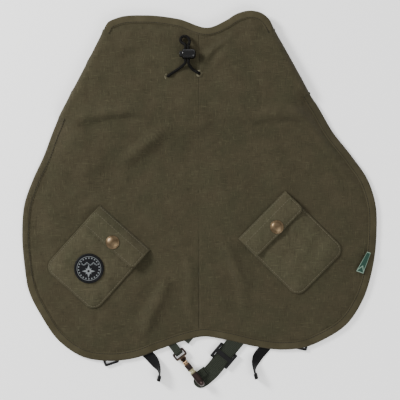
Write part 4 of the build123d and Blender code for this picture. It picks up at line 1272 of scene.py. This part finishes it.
# CAD parts that stay, with their own paint
def hookPaint():
    # Dark bronze patina, with a painted bronze highlight on the other half and a painted bright reflection
    # band near the nose: both bands are ramps along the hook's length.
    paint = Paint("hookPaint", metallic=1.0)
    tarnish = paint.noise(170, 5.0)
    along = paint.nodes.new("ShaderNodeVectorMath")
    along.operation = "DOT_PRODUCT"
    along.inputs[1].default_value = (*hook["way"], 0)
    paint.links.new(paint.coord.outputs["Object"], along.inputs[0])
    origin = float(np.dot(hook["middle"], hook["way"])) * mm
    place = paint.math("MULTIPLY", paint.math("SUBTRACT", along.outputs["Value"], origin - 0.025), 20.0)
    # painted highlight: a bronze band where light catches the hook, between the dark patina
    bronzeHighlight = paint.mix(paint.ramp(tarnish, (0.38, 0), (0.62, 1)), (0.030, 0.020, 0.016), (0.24, 0.155, 0.090))
    dark = paint.mix(tarnish, (0.020, 0.015, 0.016), (0.075, 0.052, 0.045))
    # painted reflection: a bright yellowish band near the nose, laid over the patina below
    brightReflection = paint.mix(tarnish, (0.36, 0.33, 0.17), (0.62, 0.60, 0.40))
    base = paint.over(bronzeHighlight, dark, place, 0.34, 0.40)
    base = paint.mix(paint.ramp(place, (0.16, 1), (0.20, 0)), base, dark)
    paint.colour(paint.mix(paint.ramp(place, (0.51, 0), (0.53, 1), (0.60, 1), (0.63, 0)), base, brightReflection))
    paint.rough(tarnish, 0.24, 0.44)
    paint.bump((paint.noise(1.0, 3.0, stretch=(2600, 420, 900)), 0.00004))
    return paint.material


lockSpring = {"wire": 0.25, "radius": 2.4, "pitch": 1.1, "travel": 2.5}


def buildLockSpring():
    # A helix about the plunger's axis, at an even pitch.
    low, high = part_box("cord_lock_spring")
    y, z = (low[1] + high[1]) / 2 / mm, (low[2] + high[2]) / 2 / mm
    radius, wire = lockSpring["radius"], lockSpring["wire"]
    start, end = low[0] / mm + wire, high[0] / mm - wire
    turns = (end - start) / lockSpring["pitch"]
    angle = np.linspace(0, 2 * np.pi * turns, int(36 * turns))
    outward = np.stack([np.zeros(len(angle)), np.cos(angle), np.sin(angle)], 1)
    axis = straightRun((start, y, z), (end, y, z), len(angle))
    path = axis + outward * radius
    coil = tube("lockSpring", path, outward, ovalProfile(wire, wire, 10), steelWire)
    placePiece(flipIfInward(coil), "cord_lock", "spring_steel", "cord_lock_spring")
    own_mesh(coil)


buildLockSpring()
hookMaterial = hookPaint()
# distances along the hook from its middle, heights above the wire, half widths
hookHead = {"noseFrom": 3.5, "bend": 17.8, "bendRadius": 4.4, "high": 8.8, "half": 3.7, "deep": 2.35,
            "gateFrom": -7.6, "gateTo": 2.9, "gateHalf": 3.5, "gateDeep": 2.1}


def buildHookHead():
    # Broad nose carried over the bend, and the gate's broad thumb plate.
    across = (-hook["way"][1], hook["way"][0], 0.0)
    top = hook["wireZ"] + hookHead["high"]
    turn = np.linspace(0, 2.2, 17)[1:]
    s = np.r_[np.linspace(hookHead["noseFrom"], hookHead["bend"], 28),
              hookHead["bend"] + hookHead["bendRadius"] * np.sin(turn)]
    z = np.r_[np.full(28, top), top - hookHead["bendRadius"] * (1 - np.cos(turn))]
    path = hookPoint(s, np.zeros(len(s)), z)
    taper = 1 - 0.32 * smoothStep(np.linspace(0, 1, len(s) - 24))
    ends = np.r_[np.linspace(0.72, 1, 4), np.ones(20), taper]
    oval = ovalProfile(hookHead["half"], hookHead["deep"])
    nose = tube("hookNose", path, across, oval, hookMaterial, widths=ends)
    placePiece(flipIfInward(nose), "snap_hook", "antique_bronze")
    s = np.linspace(hookHead["gateFrom"], hookHead["gateTo"], 24)
    path = hookPoint(s, np.zeros(24), np.full(24, top))
    ends = np.minimum(1, 0.7 + 0.3 * np.minimum(np.arange(24), np.arange(24)[::-1]) / 3)
    oval = ovalProfile(hookHead["gateHalf"], hookHead["gateDeep"])
    plate = tube("gatePlate", path, across, oval, hookMaterial, widths=ends)
    placePiece(flipIfInward(plate), "hook_gate", "antique_bronze")


buildHookHead()
keptPaint = [
    (eyeletBrass, ["eyelets", "eyelet_washers"]),
    (copperSnap, ["snap_stud_left", "snap_stud_right", "snap_socket_left", "snap_socket_right",
                  "snap_post_left", "snap_post_right"]),
    (hookMaterial, ["snap_hook_eye", "snap_hook_body", "snap_hook_gate"]),
    (blackPlastic, ["leg_adjuster_left", "leg_adjuster_right", "cord_lock_body", "cord_lock_plunger",
                    "strap_slider"]),
    (steelWire, ["gate_pin", "gate_spring"]),
]
for nodePaint, nodeNames in keptPaint:
    for nodeName in nodeNames:
        for materialSlot in bpy.data.objects[nodeName].material_slots:
            materialSlot.material = nodePaint
print("kept parts painted")
